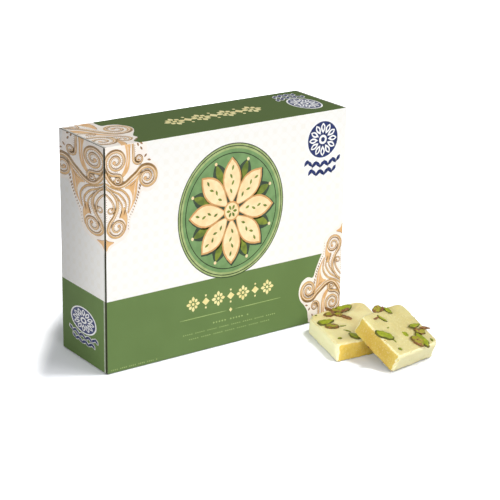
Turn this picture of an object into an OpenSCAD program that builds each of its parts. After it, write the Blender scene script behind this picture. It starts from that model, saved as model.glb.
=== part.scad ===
// A box of barfi: a printed tuck-end carton standing on its long narrow side, with the
// tray, sheets and packed sweets that it holds, and two pieces that have been taken out.
// The long way of the front lies along X, the front faces -Y and Z is up. The origin is
// the middle of the carton's base.

/* [Carton] */
// Length of the carton, end face to end face
carton_w = 160; // [130:1:200]
// Depth of the carton, front to back
carton_d = 48; // [40:1:60]
// Height of the carton as it stands
carton_h = 127; // [105:1:155]
// Thickness of the printed board
board_t = 0.5; // [0.4:0.05:0.6]
// Outer radius of the long folded edges
edge_r = 0.7; // [0.65:0.05:1]
// Width of the glue flap inside the base
glue_flap_w = 12; // [8:1:16]
// How far the ends of the glue flap stop short of the carton's ends
glue_flap_inset = 8; // [5:1:14]

/* [End closures] */
// Outer radius of a crease that folds
crease_r = 0.45; // [0.45:0.05:0.6]
// Slit between the tuck tab and the inside of the front panel
tuck_gap = 0.55; // [0.5:0.05:0.9]
// Length of the tuck tab
tuck_l = 10; // [7:0.5:10.5]
// Corner radius of the tuck tab
tuck_corner_r = 5; // [2:0.5:6]
// How far the ends of the tuck tab stop short of the closure's ends
tuck_inset = 2.5; // [2:0.25:5]
// Gap between a closure and the dust flaps behind it
flap_gap = 0.3; // [0.25:0.05:0.5]
// Length of a dust flap
dust_flap_l = 27.5; // [16:0.5:28]
// How far the front edge of a dust flap stands behind the front face
dust_flap_front = 3.6; // [3.4:0.1:6]

/* [Tray and sheets] */
// Thickness of the tray's board
tray_t = 0.5; // [0.4:0.05:0.8]
// How far the tray's open edge stands behind the front face
tray_front = 3.3; // [3.2:0.1:6]
// How far the cover sheet stands behind the tray's open edge
cover_inset = 3.4; // [1:0.2:6]
// Thickness of a paper sheet
sheet_t = 0.15; // [0.1:0.05:0.3]

/* [Sweets] */
// Corner cut of every piece
piece_cut = 1.5; // [0.5:0.25:3]
// Gap between packed pieces
pack_gap = 0.3; // [0.2:0.05:0.8]
// Length of a pistachio sliver
nut_l = 7; // [4:0.5:9]
// Width of a pistachio sliver
nut_w = 2.8; // [1.5:0.1:4]
// Height of a pistachio sliver
nut_h = 1.4; // [0.8:0.1:1.6]

/* [Loose pieces] */
// Thickness of the flat piece
flat_t = 10.5; // [8:0.5:12]
// Thickness of the leaning piece
lean_t = 12; // [8:0.5:13]
// Short and long side of the flat piece
flat_piece = [38, 46]; // [30:0.5:50]
// How far the flat piece's far right corner stands out of its slanted outline
flat_far_corner = [5.5, 7.5]; // [0:0.5:9]
// Sides of the leaning piece
lean_piece = [34, 34]; // [30:0.5:45]
// Front corner of the flat piece: place along the carton, and distance before its front
flat_place = [35, 54.4]; // [-120:0.1:120]
// Front corner of the leaning piece, from the flat piece's front corner
lean_place = [16.2, -27.4]; // [-60:0.1:60]

/* [Hidden] */
// Turns and cutting angles of the loose pieces, in degrees
flat_turn = -4.5;
flat_skew = 78;
lean_turn = 7.4;
lean_skew = 90;
// Clearances: round a moving crease, at the ends of a closure, round the tray, between
// the tray and the flaps, and under the leaning piece
crease_clear = 0.1;
closure_clear = 0.25;
tray_clear = 0.2;
tray_head_clear = 0.5;
tray_back_clear = 0.3;
tray_end_clear = 0.3;
rest_clear = 0.25;
sheet_clear = 0.1;
bead_clear = 0.15;
// How far the front panel's cut ends stand inside the end faces
cut_inset = 0.3;
// How far the base's cut edge stands inside the back face
seam_inset = 0.4;
// Where a dust flap begins, measured from the crease that the closure turns on
flap_start = 1.2;
// Draft of a dust flap's two sides: a closure turns this much faster than its flaps
flap_back_share = 0.66;
flap_front_share = 0.08;
flap_tip_cut = 2.5;
// Packing of the tray
columns = 4;
rows = 3;
layers = 3;
// Places of the front layer that are empty, as [column, row] from the lower left
empties = [[2, 2], [3, 2]];
// Overrun of a cut past the face it leaves
over = 1;
$fn = 48;

half_w = carton_w / 2;
half_d = carton_d / 2;
// Crease that a left closure turns on, and the crease of its tuck tab, in X and Y
turn_x = -half_w + crease_r;
turn_y = half_d - crease_r;
tab_y = -half_d + board_t + tuck_gap + crease_r;
// Outer face and crease of a left dust flap
flap_x = -half_w + board_t + flap_gap;
flap_crease_x = flap_x + crease_r;
closure_h = carton_h - 2 * closure_clear;
tab_h = carton_h - 2 * tuck_inset;
// The tray's outside and inside
tray_x = -flap_x - 2 * crease_r - tray_end_clear;
tray_y0 = -half_d + tray_front;
tray_y1 = half_d - board_t - tray_back_clear;
tray_z0 = 2 * board_t + tray_clear;
tray_z1 = carton_h - board_t - tray_head_clear;
in_x = tray_x - tray_t;
in_y1 = tray_y1 - tray_t;
in_z0 = tray_z0 + tray_t;
in_z1 = tray_z1 - tray_t;
// A packed piece fills its share of the tray, less the gaps
piece_w = (2 * in_x - (columns + 1) * pack_gap) / columns;
piece_l = (in_z1 - in_z0 - (rows + 1) * pack_gap) / rows;
// Backs of the three layers, from the tray's floor to the front: they fill the depth
// that the cover sheet leaves
back_layer_y = in_y1 - sheet_t - 2 * sheet_clear;
layer_pitch = (back_layer_y + sheet_clear - tray_y0 - cover_inset) / layers;
piece_t = layer_pitch - nut_h - sheet_t - 2 * sheet_clear;
middle_layer_y = back_layer_y - layer_pitch;
front_layer_y = middle_layer_y - layer_pitch;

// Slivers on a piece as [place along, place across, turn], in shares of its sides
nut_shares = [[0.24, 0.7, 20], [0.66, 0.8, 80], [0.74, 0.3, 130], [0.36, 0.26, 165]];
flat_nut_shares = [[0.13, 0.62, 15], [0.3, 0.55, 60], [0.24, 0.72, 120], [0.42, 0.78, 25],
    [0.16, 0.42, 95], [0.4, 0.4, 10]];
lean_nut_shares = [[0.2, 0.82, 30], [0.34, 0.3, 160], [0.78, 0.34, 70], [0.88, 0.5, 110],
    [0.7, 0.18, 20]];

function is_empty(c, r) = len([for (e = empties) if (e == [c, r]) e]) > 0;
// Places of the front layer that hold a piece, row by row from the bottom
front_places = [for (r = [0:rows - 1]) for (c = [0:columns - 1]) if (!is_empty(c, r)) [c, r]];
front_names = [for (i = [0:len(front_places) - 1]) str("barfi_front_", i + 1)];

// A length of board along X, from its section in Y and Z
module board(len) {
    rotate([90, 0, 90]) linear_extrude(len, center = true) children();
}

// Half of a folded edge's bend, in section: an eighth of a ring that starts a number of
// quarter turns from +Y and goes on (way 1) or back (way -1)
module bend(quarters, way) {
    reach = 2 * edge_r;
    rotate(90 * quarters) intersection() {
        difference() {
            circle(r = edge_r);
            circle(r = edge_r - board_t);
        }
        polygon([[0, 0], [reach, 0], [reach, way * reach]]);
    }
}

// A round crease of given length along Z
module crease(len, r = crease_r) {
    cylinder(h = len, r = r);
}

// The same along Y
module crease_y(len, r = crease_r) {
    rotate([-90, 0, 0]) cylinder(h = len, r = r);
}

module front_panel() {
    color("honeydew") board(carton_w - 2 * cut_inset) {
        translate([-half_d, edge_r]) square([board_t, carton_h - 2 * edge_r]);
        translate([-half_d + edge_r, carton_h - edge_r]) bend(2, -1);
        translate([-half_d + edge_r, edge_r]) bend(2, 1);
    }
}

// The ends of the top and base give way to the creases of the dust flaps
module flap_crease_cuts(z) {
    for (side = [-1, 1])
        translate([side * flap_crease_x, -half_d - over, z])
            crease_y(carton_d + 2 * over, crease_r + crease_clear);
}

module top_panel() {
    color("olivedrab") difference() {
        board(-2 * flap_crease_x) {
            translate([-half_d + edge_r, carton_h - board_t])
                square([carton_d - 2 * edge_r, board_t]);
            translate([-half_d + edge_r, carton_h - edge_r]) bend(1, 1);
            translate([half_d - edge_r, carton_h - edge_r]) bend(1, -1);
        }
        flap_crease_cuts(carton_h - crease_r);
    }
}

module back_panel() {
    color("honeydew") difference() {
        board(-2 * turn_x) {
            translate([half_d - board_t, board_t + edge_r])
                square([board_t, carton_h - board_t - 2 * edge_r]);
            translate([half_d - edge_r, carton_h - edge_r]) bend(0, 1);
            translate([half_d - edge_r, board_t + edge_r]) bend(0, -1);
        }
        for (side = [-1, 1])
            translate([side * turn_x, turn_y, -over])
                crease(carton_h + 2 * over, crease_r + crease_clear);
    }
}

module bottom_panel() {
    color("olivedrab") difference() {
        board(-2 * flap_crease_x) {
            translate([-half_d + edge_r, 0]) square([carton_d - edge_r - seam_inset, board_t]);
            translate([-half_d + edge_r, edge_r]) bend(3, -1);
        }
        flap_crease_cuts(crease_r);
    }
}

module glue_flap() {
    color("white") board(carton_w - 2 * glue_flap_inset) {
        translate([half_d - glue_flap_w, board_t]) square([glue_flap_w - edge_r, board_t]);
        translate([half_d - edge_r, board_t + edge_r]) bend(3, 1);
    }
}

// A left closure panel with the crease that it turns on
module closure() {
    difference() {
        union() {
            translate([-half_w, tab_y - crease_r, closure_clear])
                cube([board_t, turn_y - tab_y + crease_r, closure_h]);
            translate([turn_x, turn_y, closure_clear]) crease(closure_h);
        }
        translate([turn_x, tab_y, tuck_inset - crease_clear])
            crease(tab_h + 2 * crease_clear, crease_r + crease_clear);
        translate([-half_w - over, tab_y - crease_r - over, tuck_inset - crease_clear])
            cube([board_t + 2 * over, crease_r + over, tab_h + 2 * crease_clear]);
    }
}

// The tuck tab of a left closure: its crease and the tab with its two free corners rounded
module tuck_tab() {
    straight = tuck_l - crease_r;
    color("white") {
        translate([turn_x, tab_y, tuck_inset]) crease(tab_h);
        translate([turn_x, tab_y - crease_r + board_t, tuck_inset]) rotate([90, 0, 0])
            linear_extrude(board_t) {
                square([straight - tuck_corner_r, tab_h]);
                translate([0, tuck_corner_r]) square([straight, tab_h - 2 * tuck_corner_r]);
                for (z = [tuck_corner_r, tab_h - tuck_corner_r])
                    translate([straight - tuck_corner_r, z]) circle(r = tuck_corner_r);
            }
    }
}

// A dust flap of the left end, with its crease at z = 0 and the flap pointing up
module dust_flap() {
    reach = dust_flap_l - crease_r;
    front = -half_d + dust_flap_front;
    back = turn_y - flap_start;
    tip_back = back - flap_back_share * reach;
    tip_front = front + flap_front_share * reach;
    bead_y = -half_d + edge_r + bead_clear;
    color("white") {
        translate([flap_crease_x, bead_y, 0]) crease_y(back - bead_y);
        translate([flap_x, 0, 0]) rotate([90, 0, 90]) linear_extrude(board_t)
            polygon([
                [front, 0], [back, 0],
                [tip_back + flap_back_share * flap_tip_cut, reach - flap_tip_cut],
                [tip_back - flap_tip_cut, reach],
                [tip_front + flap_tip_cut, reach],
                [tip_front, reach - flap_tip_cut]
            ]);
    }
}

module lower_dust_flap() {
    translate([0, 0, crease_r]) dust_flap();
}

module upper_dust_flap() {
    translate([0, 0, carton_h - crease_r]) mirror([0, 0, 1]) dust_flap();
}

module left_closure() {
    color("honeydew") closure();
}

module right_closure() {
    color("honeydew") mirror([1, 0, 0]) closure();
}

module tray() {
    color("ivory") difference() {
        translate([-tray_x, tray_y0, tray_z0])
            cube([2 * tray_x, tray_y1 - tray_y0, tray_z1 - tray_z0]);
        translate([-in_x, tray_y0 - over, in_z0])
            cube([2 * in_x, in_y1 - tray_y0 + over, in_z1 - in_z0]);
    }
}

// A paper sheet that fills the tray, with its back face at y
module sheet(y) {
    color("oldlace") translate([-in_x + pack_gap, y - sheet_t, in_z0 + pack_gap])
        cube([2 * (in_x - pack_gap), sheet_t, in_z1 - in_z0 - 2 * pack_gap]);
}

// Corners of a piece cut at an angle, with each corner taken off
function piece_outline(w, l, skew, far_corner) =
    let (
        along = [w, 0],
        across = l * [cos(skew), sin(skew)],
        corners = [[0, 0], along, along + across + far_corner, across],
        sides = [for (i = [0:3]) corners[(i + 1) % 4] - corners[i]],
        ways = [for (s = sides) s / norm(s)]
    )
    [for (i = [0:3]) for (k = [0, 1])
        corners[i] + piece_cut * (k == 0 ? -ways[(i + 3) % 4] : ways[i])];

module piece(w, l, t, skew = 90, far_corner = [0, 0]) {
    color("khaki") linear_extrude(t) polygon(piece_outline(w, l, skew, far_corner));
}

// Pistachio slivers on the top of a piece
module nuts(w, l, t, spots, skew = 90) {
    for (s = spots)
        translate([s[0] * w + s[1] * l * cos(skew), s[1] * l * sin(skew), t])
            rotate([0, 0, s[2]])
                color("yellowgreen") linear_extrude(nut_h) polygon([
                    [-nut_l / 2, 0], [-nut_l / 4, -nut_w / 2], [nut_l / 4, -nut_w / 2],
                    [nut_l / 2, 0], [nut_l / 4, nut_w / 2], [-nut_l / 4, nut_w / 2]
                ]);
}

// Puts its children at a place of a layer, with the top of the piece facing the front
module at_place(p, y) {
    translate([
        -in_x + pack_gap + p[0] * (piece_w + pack_gap),
        y,
        in_z0 + pack_gap + p[1] * (piece_l + pack_gap)
    ]) rotate([90, 0, 0]) children();
}

// The pattern of slivers takes a half turn on every second piece
function turned(spots, n) = [for (s = spots) n % 2 == 0 ? s : [1 - s[0], 1 - s[1], s[2]]];

module packed_piece(p, y) {
    at_place(p, y) piece(piece_w, piece_l, piece_t);
}

module packed_nuts(p, y) {
    at_place(p, y) nuts(piece_w, piece_l, piece_t, turned(nut_shares, p[0] + p[1]));
}

module full_layer(y) {
    for (r = [0:rows - 1]) for (c = [0:columns - 1]) packed_piece([c, r], y);
}

module full_layer_nuts(y) {
    for (r = [0:rows - 1]) for (c = [0:columns - 1]) packed_nuts([c, r], y);
}

// The flat piece's right-hand corner props the leaning piece: its lean follows from there
flat_corner = [flat_place[0], -half_d - flat_place[1]];
lean_corner = flat_corner + lean_place;
flat_right = flat_corner + flat_piece[0] * [cos(flat_turn), sin(flat_turn)];
lean_run = (flat_right - lean_corner) * [-sin(lean_turn), cos(lean_turn)];
lean = atan2(flat_t + rest_clear, lean_run);

module flat_piece_place() {
    translate([flat_corner[0], flat_corner[1], 0]) rotate([0, 0, flat_turn]) children();
}

module lean_piece_place() {
    translate([lean_corner[0], lean_corner[1], 0]) rotate([0, 0, lean_turn])
        rotate([lean, 0, 0]) children();
}

front_panel();
top_panel();
back_panel();
bottom_panel();
glue_flap();
left_closure();
tuck_tab();  // left_tuck_tab
upper_dust_flap();  // left_upper_dust_flap
lower_dust_flap();  // left_lower_dust_flap
right_closure();
mirror([1, 0, 0]) tuck_tab();  // right_tuck_tab
mirror([1, 0, 0]) upper_dust_flap();  // right_upper_dust_flap
mirror([1, 0, 0]) lower_dust_flap();  // right_lower_dust_flap
tray();
sheet(in_y1 - sheet_clear);  // liner_sheet
sheet(middle_layer_y + sheet_t + sheet_clear);  // rear_separator_sheet
sheet(front_layer_y + sheet_t + sheet_clear);  // front_separator_sheet
sheet(front_layer_y - piece_t - nut_h - sheet_clear);  // cover_sheet
full_layer(back_layer_y);  // barfi_back_layer
full_layer(middle_layer_y);  // barfi_middle_layer
for (i = [0:len(front_places) - 1])
    packed_piece(front_places[i], front_layer_y);
full_layer_nuts(back_layer_y);  // pistachios_back_layer
full_layer_nuts(middle_layer_y);  // pistachios_middle_layer
for (p = front_places) packed_nuts(p, front_layer_y);  // pistachios_front_layer
flat_piece_place()  // loose_barfi_flat
        piece(flat_piece[0], flat_piece[1], flat_t, flat_skew, flat_far_corner);
flat_piece_place() nuts(flat_piece[0], flat_piece[1], flat_t, flat_nut_shares, flat_skew);  // loose_flat_pistachios
lean_piece_place() piece(lean_piece[0], lean_piece[1], lean_t, lean_skew);  // loose_barfi_leaning
lean_piece_place() nuts(lean_piece[0], lean_piece[1], lean_t, lean_nut_shares, lean_skew);  // loose_leaning_pistachios
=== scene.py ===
"""Looks of a printed carton of barfi and two loose pieces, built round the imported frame.

The print is thin raised ink. It is drawn flat, in unrolled millimetres, and then folded
over the carton's bends. The sweets are carved out of slabs in the frame's places.
"""

import logging
import math
import random
from collections.abc import Callable, Iterable, Sequence
from dataclasses import dataclass, field
from enum import Enum

import bmesh
import bpy
from mathutils import Matrix, Vector, noise
from mathutils.bvhtree import BVHTree


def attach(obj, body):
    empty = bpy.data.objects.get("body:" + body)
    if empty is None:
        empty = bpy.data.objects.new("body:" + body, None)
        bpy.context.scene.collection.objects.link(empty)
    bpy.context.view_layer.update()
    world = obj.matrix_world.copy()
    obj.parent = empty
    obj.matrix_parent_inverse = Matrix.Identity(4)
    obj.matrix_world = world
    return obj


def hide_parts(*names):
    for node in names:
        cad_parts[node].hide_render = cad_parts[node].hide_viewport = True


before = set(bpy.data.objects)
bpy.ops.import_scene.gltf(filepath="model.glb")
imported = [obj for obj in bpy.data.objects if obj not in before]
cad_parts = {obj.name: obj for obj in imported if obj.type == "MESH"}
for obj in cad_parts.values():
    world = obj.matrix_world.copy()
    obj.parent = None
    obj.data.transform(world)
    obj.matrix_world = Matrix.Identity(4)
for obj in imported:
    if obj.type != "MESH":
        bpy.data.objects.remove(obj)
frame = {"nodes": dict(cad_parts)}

LOG = logging.getLogger("barfi_carton")
MM = 0.001
RIM_MASK = "rim"

Colour = tuple[float, float, float, float]
Point = tuple[float, float]
Path = list[Point]
Loop = Sequence[Point]
Spot = tuple[float, float, float]
Lamp = tuple[str, Spot, Spot, float, float]
Mark = tuple[list[Point], list[tuple[int, ...]], int]
Row = list[bmesh.types.BMVert]


def shade(red: int, green: int, blue: int) -> Colour:
    """Turns a screen colour into the linear colour that a shader takes.

    Args:
        red: Red, 0 to 255.
        green: Green, 0 to 255.
        blue: Blue, 0 to 255.

    Returns:
        The linear colour, opaque.
    """
    linear = []
    for channel in (red, green, blue):
        share = channel / 255
        linear.append(share / 12.92 if share <= 0.04045 else ((share + 0.055) / 1.055) ** 2.4)
    return (linear[0], linear[1], linear[2], 1.0)


class Value:
    """An output of a shader node that takes part in Python's own sums."""

    def __init__(self, graph: "Graph", socket: bpy.types.NodeSocket | None) -> None:
        """Wraps one socket of a graph."""
        self.graph = graph
        self.socket = socket

    def other(self, name: int | str) -> "Value":
        """Gives another output of the same node."""
        return Value(self.graph, self.socket.node.outputs[name])

    def maths(self, operation: str, first: "Value | float", second: "Value | float" = 0.0) -> "Value":
        """Adds one Math node and gives its result."""
        return self.graph.node("ShaderNodeMath", {"operation": operation}, {0: first, 1: second})

    def __add__(self, other: "Value | float") -> "Value":
        """Adds."""
        return self.maths("ADD", self, other)

    def __radd__(self, other: float) -> "Value":
        """Adds to a plain number."""
        return self.maths("ADD", other, self)

    def __sub__(self, other: "Value | float") -> "Value":
        """Subtracts."""
        return self.maths("SUBTRACT", self, other)

    def __rsub__(self, other: float) -> "Value":
        """Subtracts from a plain number."""
        return self.maths("SUBTRACT", other, self)

    def __mul__(self, other: "Value | float") -> "Value":
        """Multiplies."""
        return self.maths("MULTIPLY", self, other)

    def __rmul__(self, other: float) -> "Value":
        """Multiplies a plain number."""
        return self.maths("MULTIPLY", other, self)

    def __abs__(self) -> "Value":
        """Drops the sign."""
        return self.maths("ABSOLUTE", self)

    def sine(self) -> "Value":
        """Takes the sine of an angle in radians."""
        return self.maths("SINE", self)

    def rise(self, low: float, high: float) -> "Value":
        """Goes smoothly from 0 at low to 1 at high, or back where low is the larger.

        Args:
            low: Where the result is 0.
            high: Where the result is 1.

        Returns:
            A mask between 0 and 1.
        """
        settings = {"interpolation_type": "SMOOTHSTEP"}
        limits = {"From Min": min(low, high), "From Max": max(low, high)}
        mask = self.graph.node("ShaderNodeMapRange", settings, {"Value": self, **limits})
        return mask if low < high else 1 - mask


class Graph:
    """One material, or the world, while its nodes are laid out."""

    def __init__(self, name: str, owner: bpy.types.World | None = None) -> None:
        """Starts with no nodes.

        Args:
            name: The material's name.
            owner: The world, where it isn't a new material.
        """
        self.material = owner or bpy.data.materials.new(name)
        self.material.use_nodes = True
        self.tree = self.material.node_tree
        self.tree.nodes.clear()

    def node(
        self,
        kind: str,
        settings: dict[str, object] | None = None,
        inputs: dict[int | str, object] | None = None,
        output: int | str = 0,
    ) -> Value:
        """Adds a node of any type.

        Args:
            kind: The node's type.
            settings: Its properties, set first.
            inputs: Values or links of its sockets, by name or number.
            output: The output that is handed back.

        Returns:
            That output, ready for sums.
        """
        made = self.tree.nodes.new(kind)
        for name, setting in (settings or {}).items():
            setattr(made, name, setting)
        for name, given in (inputs or {}).items():
            if isinstance(given, Value):
                self.tree.links.new(given.socket, made.inputs[name])
            else:
                made.inputs[name].default_value = given
        return Value(self, made.outputs[output] if made.outputs else None)

    def place(self) -> Value:
        """Gives the point on the object, in metres."""
        return self.node("ShaderNodeTexCoord", output="Object")

    def facing(self, way: Sequence[float]) -> Value:
        """Tells how squarely the surface faces a direction of its own object.

        Args:
            way: The direction, of length 1.

        Returns:
            1 where it faces that way, -1 where it faces away.
        """
        normal = self.node("ShaderNodeTexCoord", output="Normal")
        settings = {"operation": "DOT_PRODUCT"}
        return self.node("ShaderNodeVectorMath", settings, {0: normal, 1: tuple(way)}, "Value")

    def axes(self) -> tuple[Value, Value, Value]:
        """Gives the point's three coordinates, in metres."""
        split = self.node("ShaderNodeSeparateXYZ", inputs={0: self.place()})
        return split, split.other(1), split.other(2)

    def grain(self, size: float, detail: float = 3.0, stretch: Sequence[float] = (1, 1, 1)) -> Value:
        """Adds cloudy noise.

        Args:
            size: The width of its features, in millimetres.
            detail: How many finer layers it has.
            stretch: How much it is drawn out along each axis.

        Returns:
            The noise, around 0.5.
        """
        scale = tuple(1 / share for share in stretch)
        moved = self.node("ShaderNodeMapping", None, {"Vector": self.place(), "Scale": scale})
        inputs = {"Vector": moved, "Scale": 1 / (size * MM), "Detail": detail}
        return self.node("ShaderNodeTexNoise", None, inputs)

    def level(self, name: str) -> Value:
        """Reads a number that the mesh holds at each point."""
        return self.node("ShaderNodeAttribute", {"attribute_name": name}, output="Fac")

    def mix(self, factor: Value | float, first: Value | Colour, second: Value | Colour) -> Value:
        """Mixes two colours, with the first where the factor is 0 and the second where it is 1."""
        return self.node("ShaderNodeMix", {"data_type": "RGBA"}, {0: factor, 6: first, 7: second}, 2)

    def bump(self, height: Value, depth: float) -> Value:
        """Turns a height of 0 to 1 into a normal, with the depth of 1 in millimetres."""
        return self.node("ShaderNodeBump", None, {"Strength": 1.0, "Distance": depth * MM, "Height": height})

    def surface(self, **sockets: object) -> bpy.types.Material:
        """Ends the material with one Principled shader.

        Args:
            **sockets: Its sockets, with _ for a space.

        Returns:
            The finished material.
        """
        named = {name.replace("_", " "): given for name, given in sockets.items()}
        shader = self.node("ShaderNodeBsdfPrincipled", None, named)
        self.node("ShaderNodeOutputMaterial", None, {"Surface": shader})
        return self.material


class Ink(Enum):
    """The inks of the print, each with its two colours."""

    GOLD = ("gold", shade(222, 186, 134), shade(204, 162, 108))
    TAN = ("tan", shade(234, 194, 142), shade(222, 174, 118))
    BROWN = ("brown", shade(160, 124, 84), shade(132, 98, 64))
    OLIVE = ("olive", shade(150, 118, 76), shade(122, 96, 60))
    CREAM = ("cream", shade(250, 244, 236), shade(246, 236, 226))
    PALE = ("pale_gold", shade(244, 234, 172), shade(236, 220, 150))
    RULE = ("rule_green", shade(170, 190, 120), shade(156, 178, 108))
    NAVY = ("navy", shade(38, 52, 104), shade(28, 40, 86))
    WHITE = ("white", shade(252, 252, 250), shade(246, 246, 244))
    RIM = ("rim_green", shade(54, 66, 42), shade(42, 54, 34))
    LEAD = ("rim_light", shade(176, 192, 132), shade(150, 168, 108))
    SAGE = ("sage", shade(124, 158, 104), shade(108, 142, 90))
    SHADOW = ("deep_green", shade(62, 78, 58), shade(50, 62, 48))
    CUSTARD = ("custard", shade(252, 232, 186), shade(244, 214, 160))
    TOAST = ("toast", shade(222, 172, 112), shade(206, 152, 96))
    NUT = ("nut_green", shade(134, 148, 56), shade(84, 104, 44))

    @property
    def title(self) -> str:
        """The name that goes into the pieces' names."""
        return self.value[0]


@dataclass(frozen=True)
class InkFinish:
    """A slightly raised satin ink."""

    ink: Ink
    mottle: float = 5.0
    speck: float = 0.35
    roughness: float = 0.42
    shine: float = 0.2

    def material(self) -> bpy.types.Material:
        """Builds the ink's material.

        Returns:
            The finished material.
        """
        graph = Graph(f"ink_{self.ink.title}")
        cloud = graph.grain(self.mottle).rise(0.35, 0.65)
        speck = graph.grain(self.speck, 2.0)
        return graph.surface(
            Base_Color=graph.mix(cloud * 0.8 + speck * 0.2, self.ink.value[1], self.ink.value[2]),
            Roughness=self.roughness + 0.1 * speck,
            Specular_IOR_Level=self.shine,
        )


class Side(Enum):
    """The carton's printed sides, each with the way it faces."""

    FRONT = (0.0, -1.0, 0.0)
    BACK = (0.0, 1.0, 0.0)
    TOP = (0.0, 0.0, 1.0)
    BASE = (0.0, 0.0, -1.0)
    LEFT = (-1.0, 0.0, 0.0)
    RIGHT = (1.0, 0.0, 0.0)


@dataclass(frozen=True)
class PrintFinish:
    """Coated white board that is printed on the outer side only."""

    side: Side
    upper: Colour
    lower: Colour
    band_top: float
    fold_low: float
    fold_high: float
    outward: Spot = (0.0, 0.0, 0.0)
    motif: float = 13.0
    motif_strength: float = 0.3
    cloud: float = 26.0
    cloud_strength: float = 0.12
    fleck: float = 0.5
    nick: float = 1.4
    roughness: float = 0.8
    gloss: float = 0.28
    shine: float = 0.04
    tooth: float = 0.012
    band_blur: float = 0.04
    fold_width: float = 0.5
    # Where the ends' pale strip beside the tuck crease starts and ends: painted highlight with some worn ink.
    crease_start: float = 21.0
    crease_full: float = 21.3
    crease_end: float = 22.3
    crease_past: float = 22.5
    slit_start: float = 22.55
    slit_full: float = 22.7
    slit_out: Point = (79.1, 79.3)
    faint: Colour = shade(240, 235, 222)
    deeper: Colour = shade(70, 90, 46)
    # Pale tint of the folds: worn ink and painted highlight.
    wear_and_highlight_tint: Colour = shade(244, 244, 238)
    # Painted shade: dark grey-green laid in the ends' seam slit, standing for the shadow in the gap.
    slit_shade: Colour = shade(62, 64, 48)
    fibre: Colour = shade(216, 213, 205)
    dark_fibre: Colour = shade(198, 193, 182)
    # Painted shade: the cut edges are dark grey, much darker than the board, and stand in for the shadow in
    # the seams.
    edge: Colour = shade(84, 80, 72)
    dark_edge: Colour = shade(62, 58, 52)

    def material(self) -> bpy.types.Material:
        """Builds the board's material.

        Returns:
            The finished material.
        """
        graph = Graph(f"printed_board_{self.side.name.lower()}")
        x, y, z = graph.axes()
        at_end = self.side in (Side.LEFT, Side.RIGHT)
        across = y if at_end else x
        up = y if self.side in (Side.TOP, Side.BASE) else z
        green = z.rise((self.band_top + self.band_blur) * MM, (self.band_top - self.band_blur) * MM)
        cloud = graph.grain(self.cloud, 2.0)
        faint = self._motif(across, up) * (0.35 + cloud * 0.65)
        paper = graph.mix(faint * self.motif_strength, self.upper, self.faint)
        lower = graph.mix(cloud.rise(0.3, 0.7) * self.cloud_strength, self.lower, self.deeper)
        print_colour = graph.mix(green, paper, lower)
        print_colour = graph.mix(self._fold_wear_and_highlight(graph, y, z), print_colour, self.wear_and_highlight_tint)
        if at_end:
            # Painted shade: the crease and the tuck tab inside the ends' seam slit turn dark, standing for
            # the shadow in the gap.
            deep = (y * -1).rise(self.slit_start * MM, self.slit_full * MM)
            outer = abs(x).rise(self.slit_out[0] * MM, self.slit_out[1] * MM)
            print_colour = graph.mix(deep * outer, print_colour, self.slit_shade)
        fleck = graph.grain(self.fleck, 4.0)
        raw = graph.mix(fleck.rise(0.4, 0.7), self.fibre, self.dark_fibre)
        faces = graph.facing(self.outward if any(self.outward) else self.side.value)
        printed = faces.rise(0.28, 0.32)
        # Inner faces take the bare fibre; cut edges take the dark painted-shade colours.
        bare = graph.mix(faces.rise(-0.5, -0.3), raw, graph.mix(fleck, self.edge, self.dark_edge))
        return graph.surface(
            Base_Color=graph.mix(printed, bare, print_colour),
            Roughness=self.roughness - printed * self.gloss + (fleck - 0.5) * 0.1,
            Normal=graph.bump(fleck, self.tooth),
            Specular_IOR_Level=self.shine,
        )

    def _motif(self, across: Value, up: Value) -> Value:
        """Draws a faint lattice of small flowers.

        Args:
            across: The place along the panel.
            up: The place up the panel.

        Returns:
            A mask of the lattice.
        """
        turn = 2 * math.pi / (self.motif * MM)
        first = (across * turn).sine()
        second = (up * turn).sine()
        lattice = abs(first + second).rise(0.34, 0.16) + abs(first - second).rise(0.34, 0.16)
        petals = abs(first * second).rise(0.62, 0.8)
        return lattice * 0.6 + petals * 0.8

    def _fold_wear_and_highlight(self, graph: Graph, y: Value, z: Value) -> Value:
        """Finds the pale line along the folds, partly worn ink and partly painted highlight.

        Args:
            graph: The material's graph.
            y: The place from front to back.
            z: The height.

        Returns:
            How much pale colour lies over the print, for worn ink and painted highlight.
        """
        nick = graph.grain(self.nick, 4.0)
        high = z.rise(self.fold_high * MM, (self.fold_high + self.fold_width) * MM)
        low = z.rise(self.fold_low * MM, (self.fold_low - self.fold_width) * MM)
        # Pale line along the top and bottom folds, partly worn ink and partly painted highlight.
        wear_and_highlight = (high + low) * (0.12 + nick.rise(0.5, 0.75) * 0.3)
        if self.side in (Side.LEFT, Side.RIGHT):
            # Painted highlight: a pale strip on the ends beside the tuck crease, where the rounded crease
            # catches light, with some worn ink.
            near = (y * -1).rise(self.crease_start * MM, self.crease_full * MM)
            end = (y * -1).rise(self.crease_past * MM, self.crease_end * MM)
            wear_and_highlight = wear_and_highlight + near * end * (0.36 + nick.rise(0.4, 0.7) * 0.2)
        return wear_and_highlight


@dataclass(frozen=True)
class BoardFinish:
    """Bare folding board, white or grey."""

    name: str
    base: Colour
    fleck: Colour
    roughness: float = 0.8
    fibre: float = 0.7
    cloud: float = 18.0
    tooth: float = 0.02
    shine: float = 0.35

    def material(self) -> bpy.types.Material:
        """Builds the board's material.

        Returns:
            The finished material.
        """
        graph = Graph(self.name)
        fibre = graph.grain(self.fibre, 5.0, (1.0, 1.0, 3.0))
        cloud = graph.grain(self.cloud, 2.0)
        return graph.surface(
            Base_Color=graph.mix(fibre.rise(0.42, 0.7) * 0.6 + cloud * 0.3, self.base, self.fleck),
            Roughness=self.roughness - 0.1 * fibre,
            Normal=graph.bump(fibre, self.tooth),
            Specular_IOR_Level=self.shine,
        )


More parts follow.
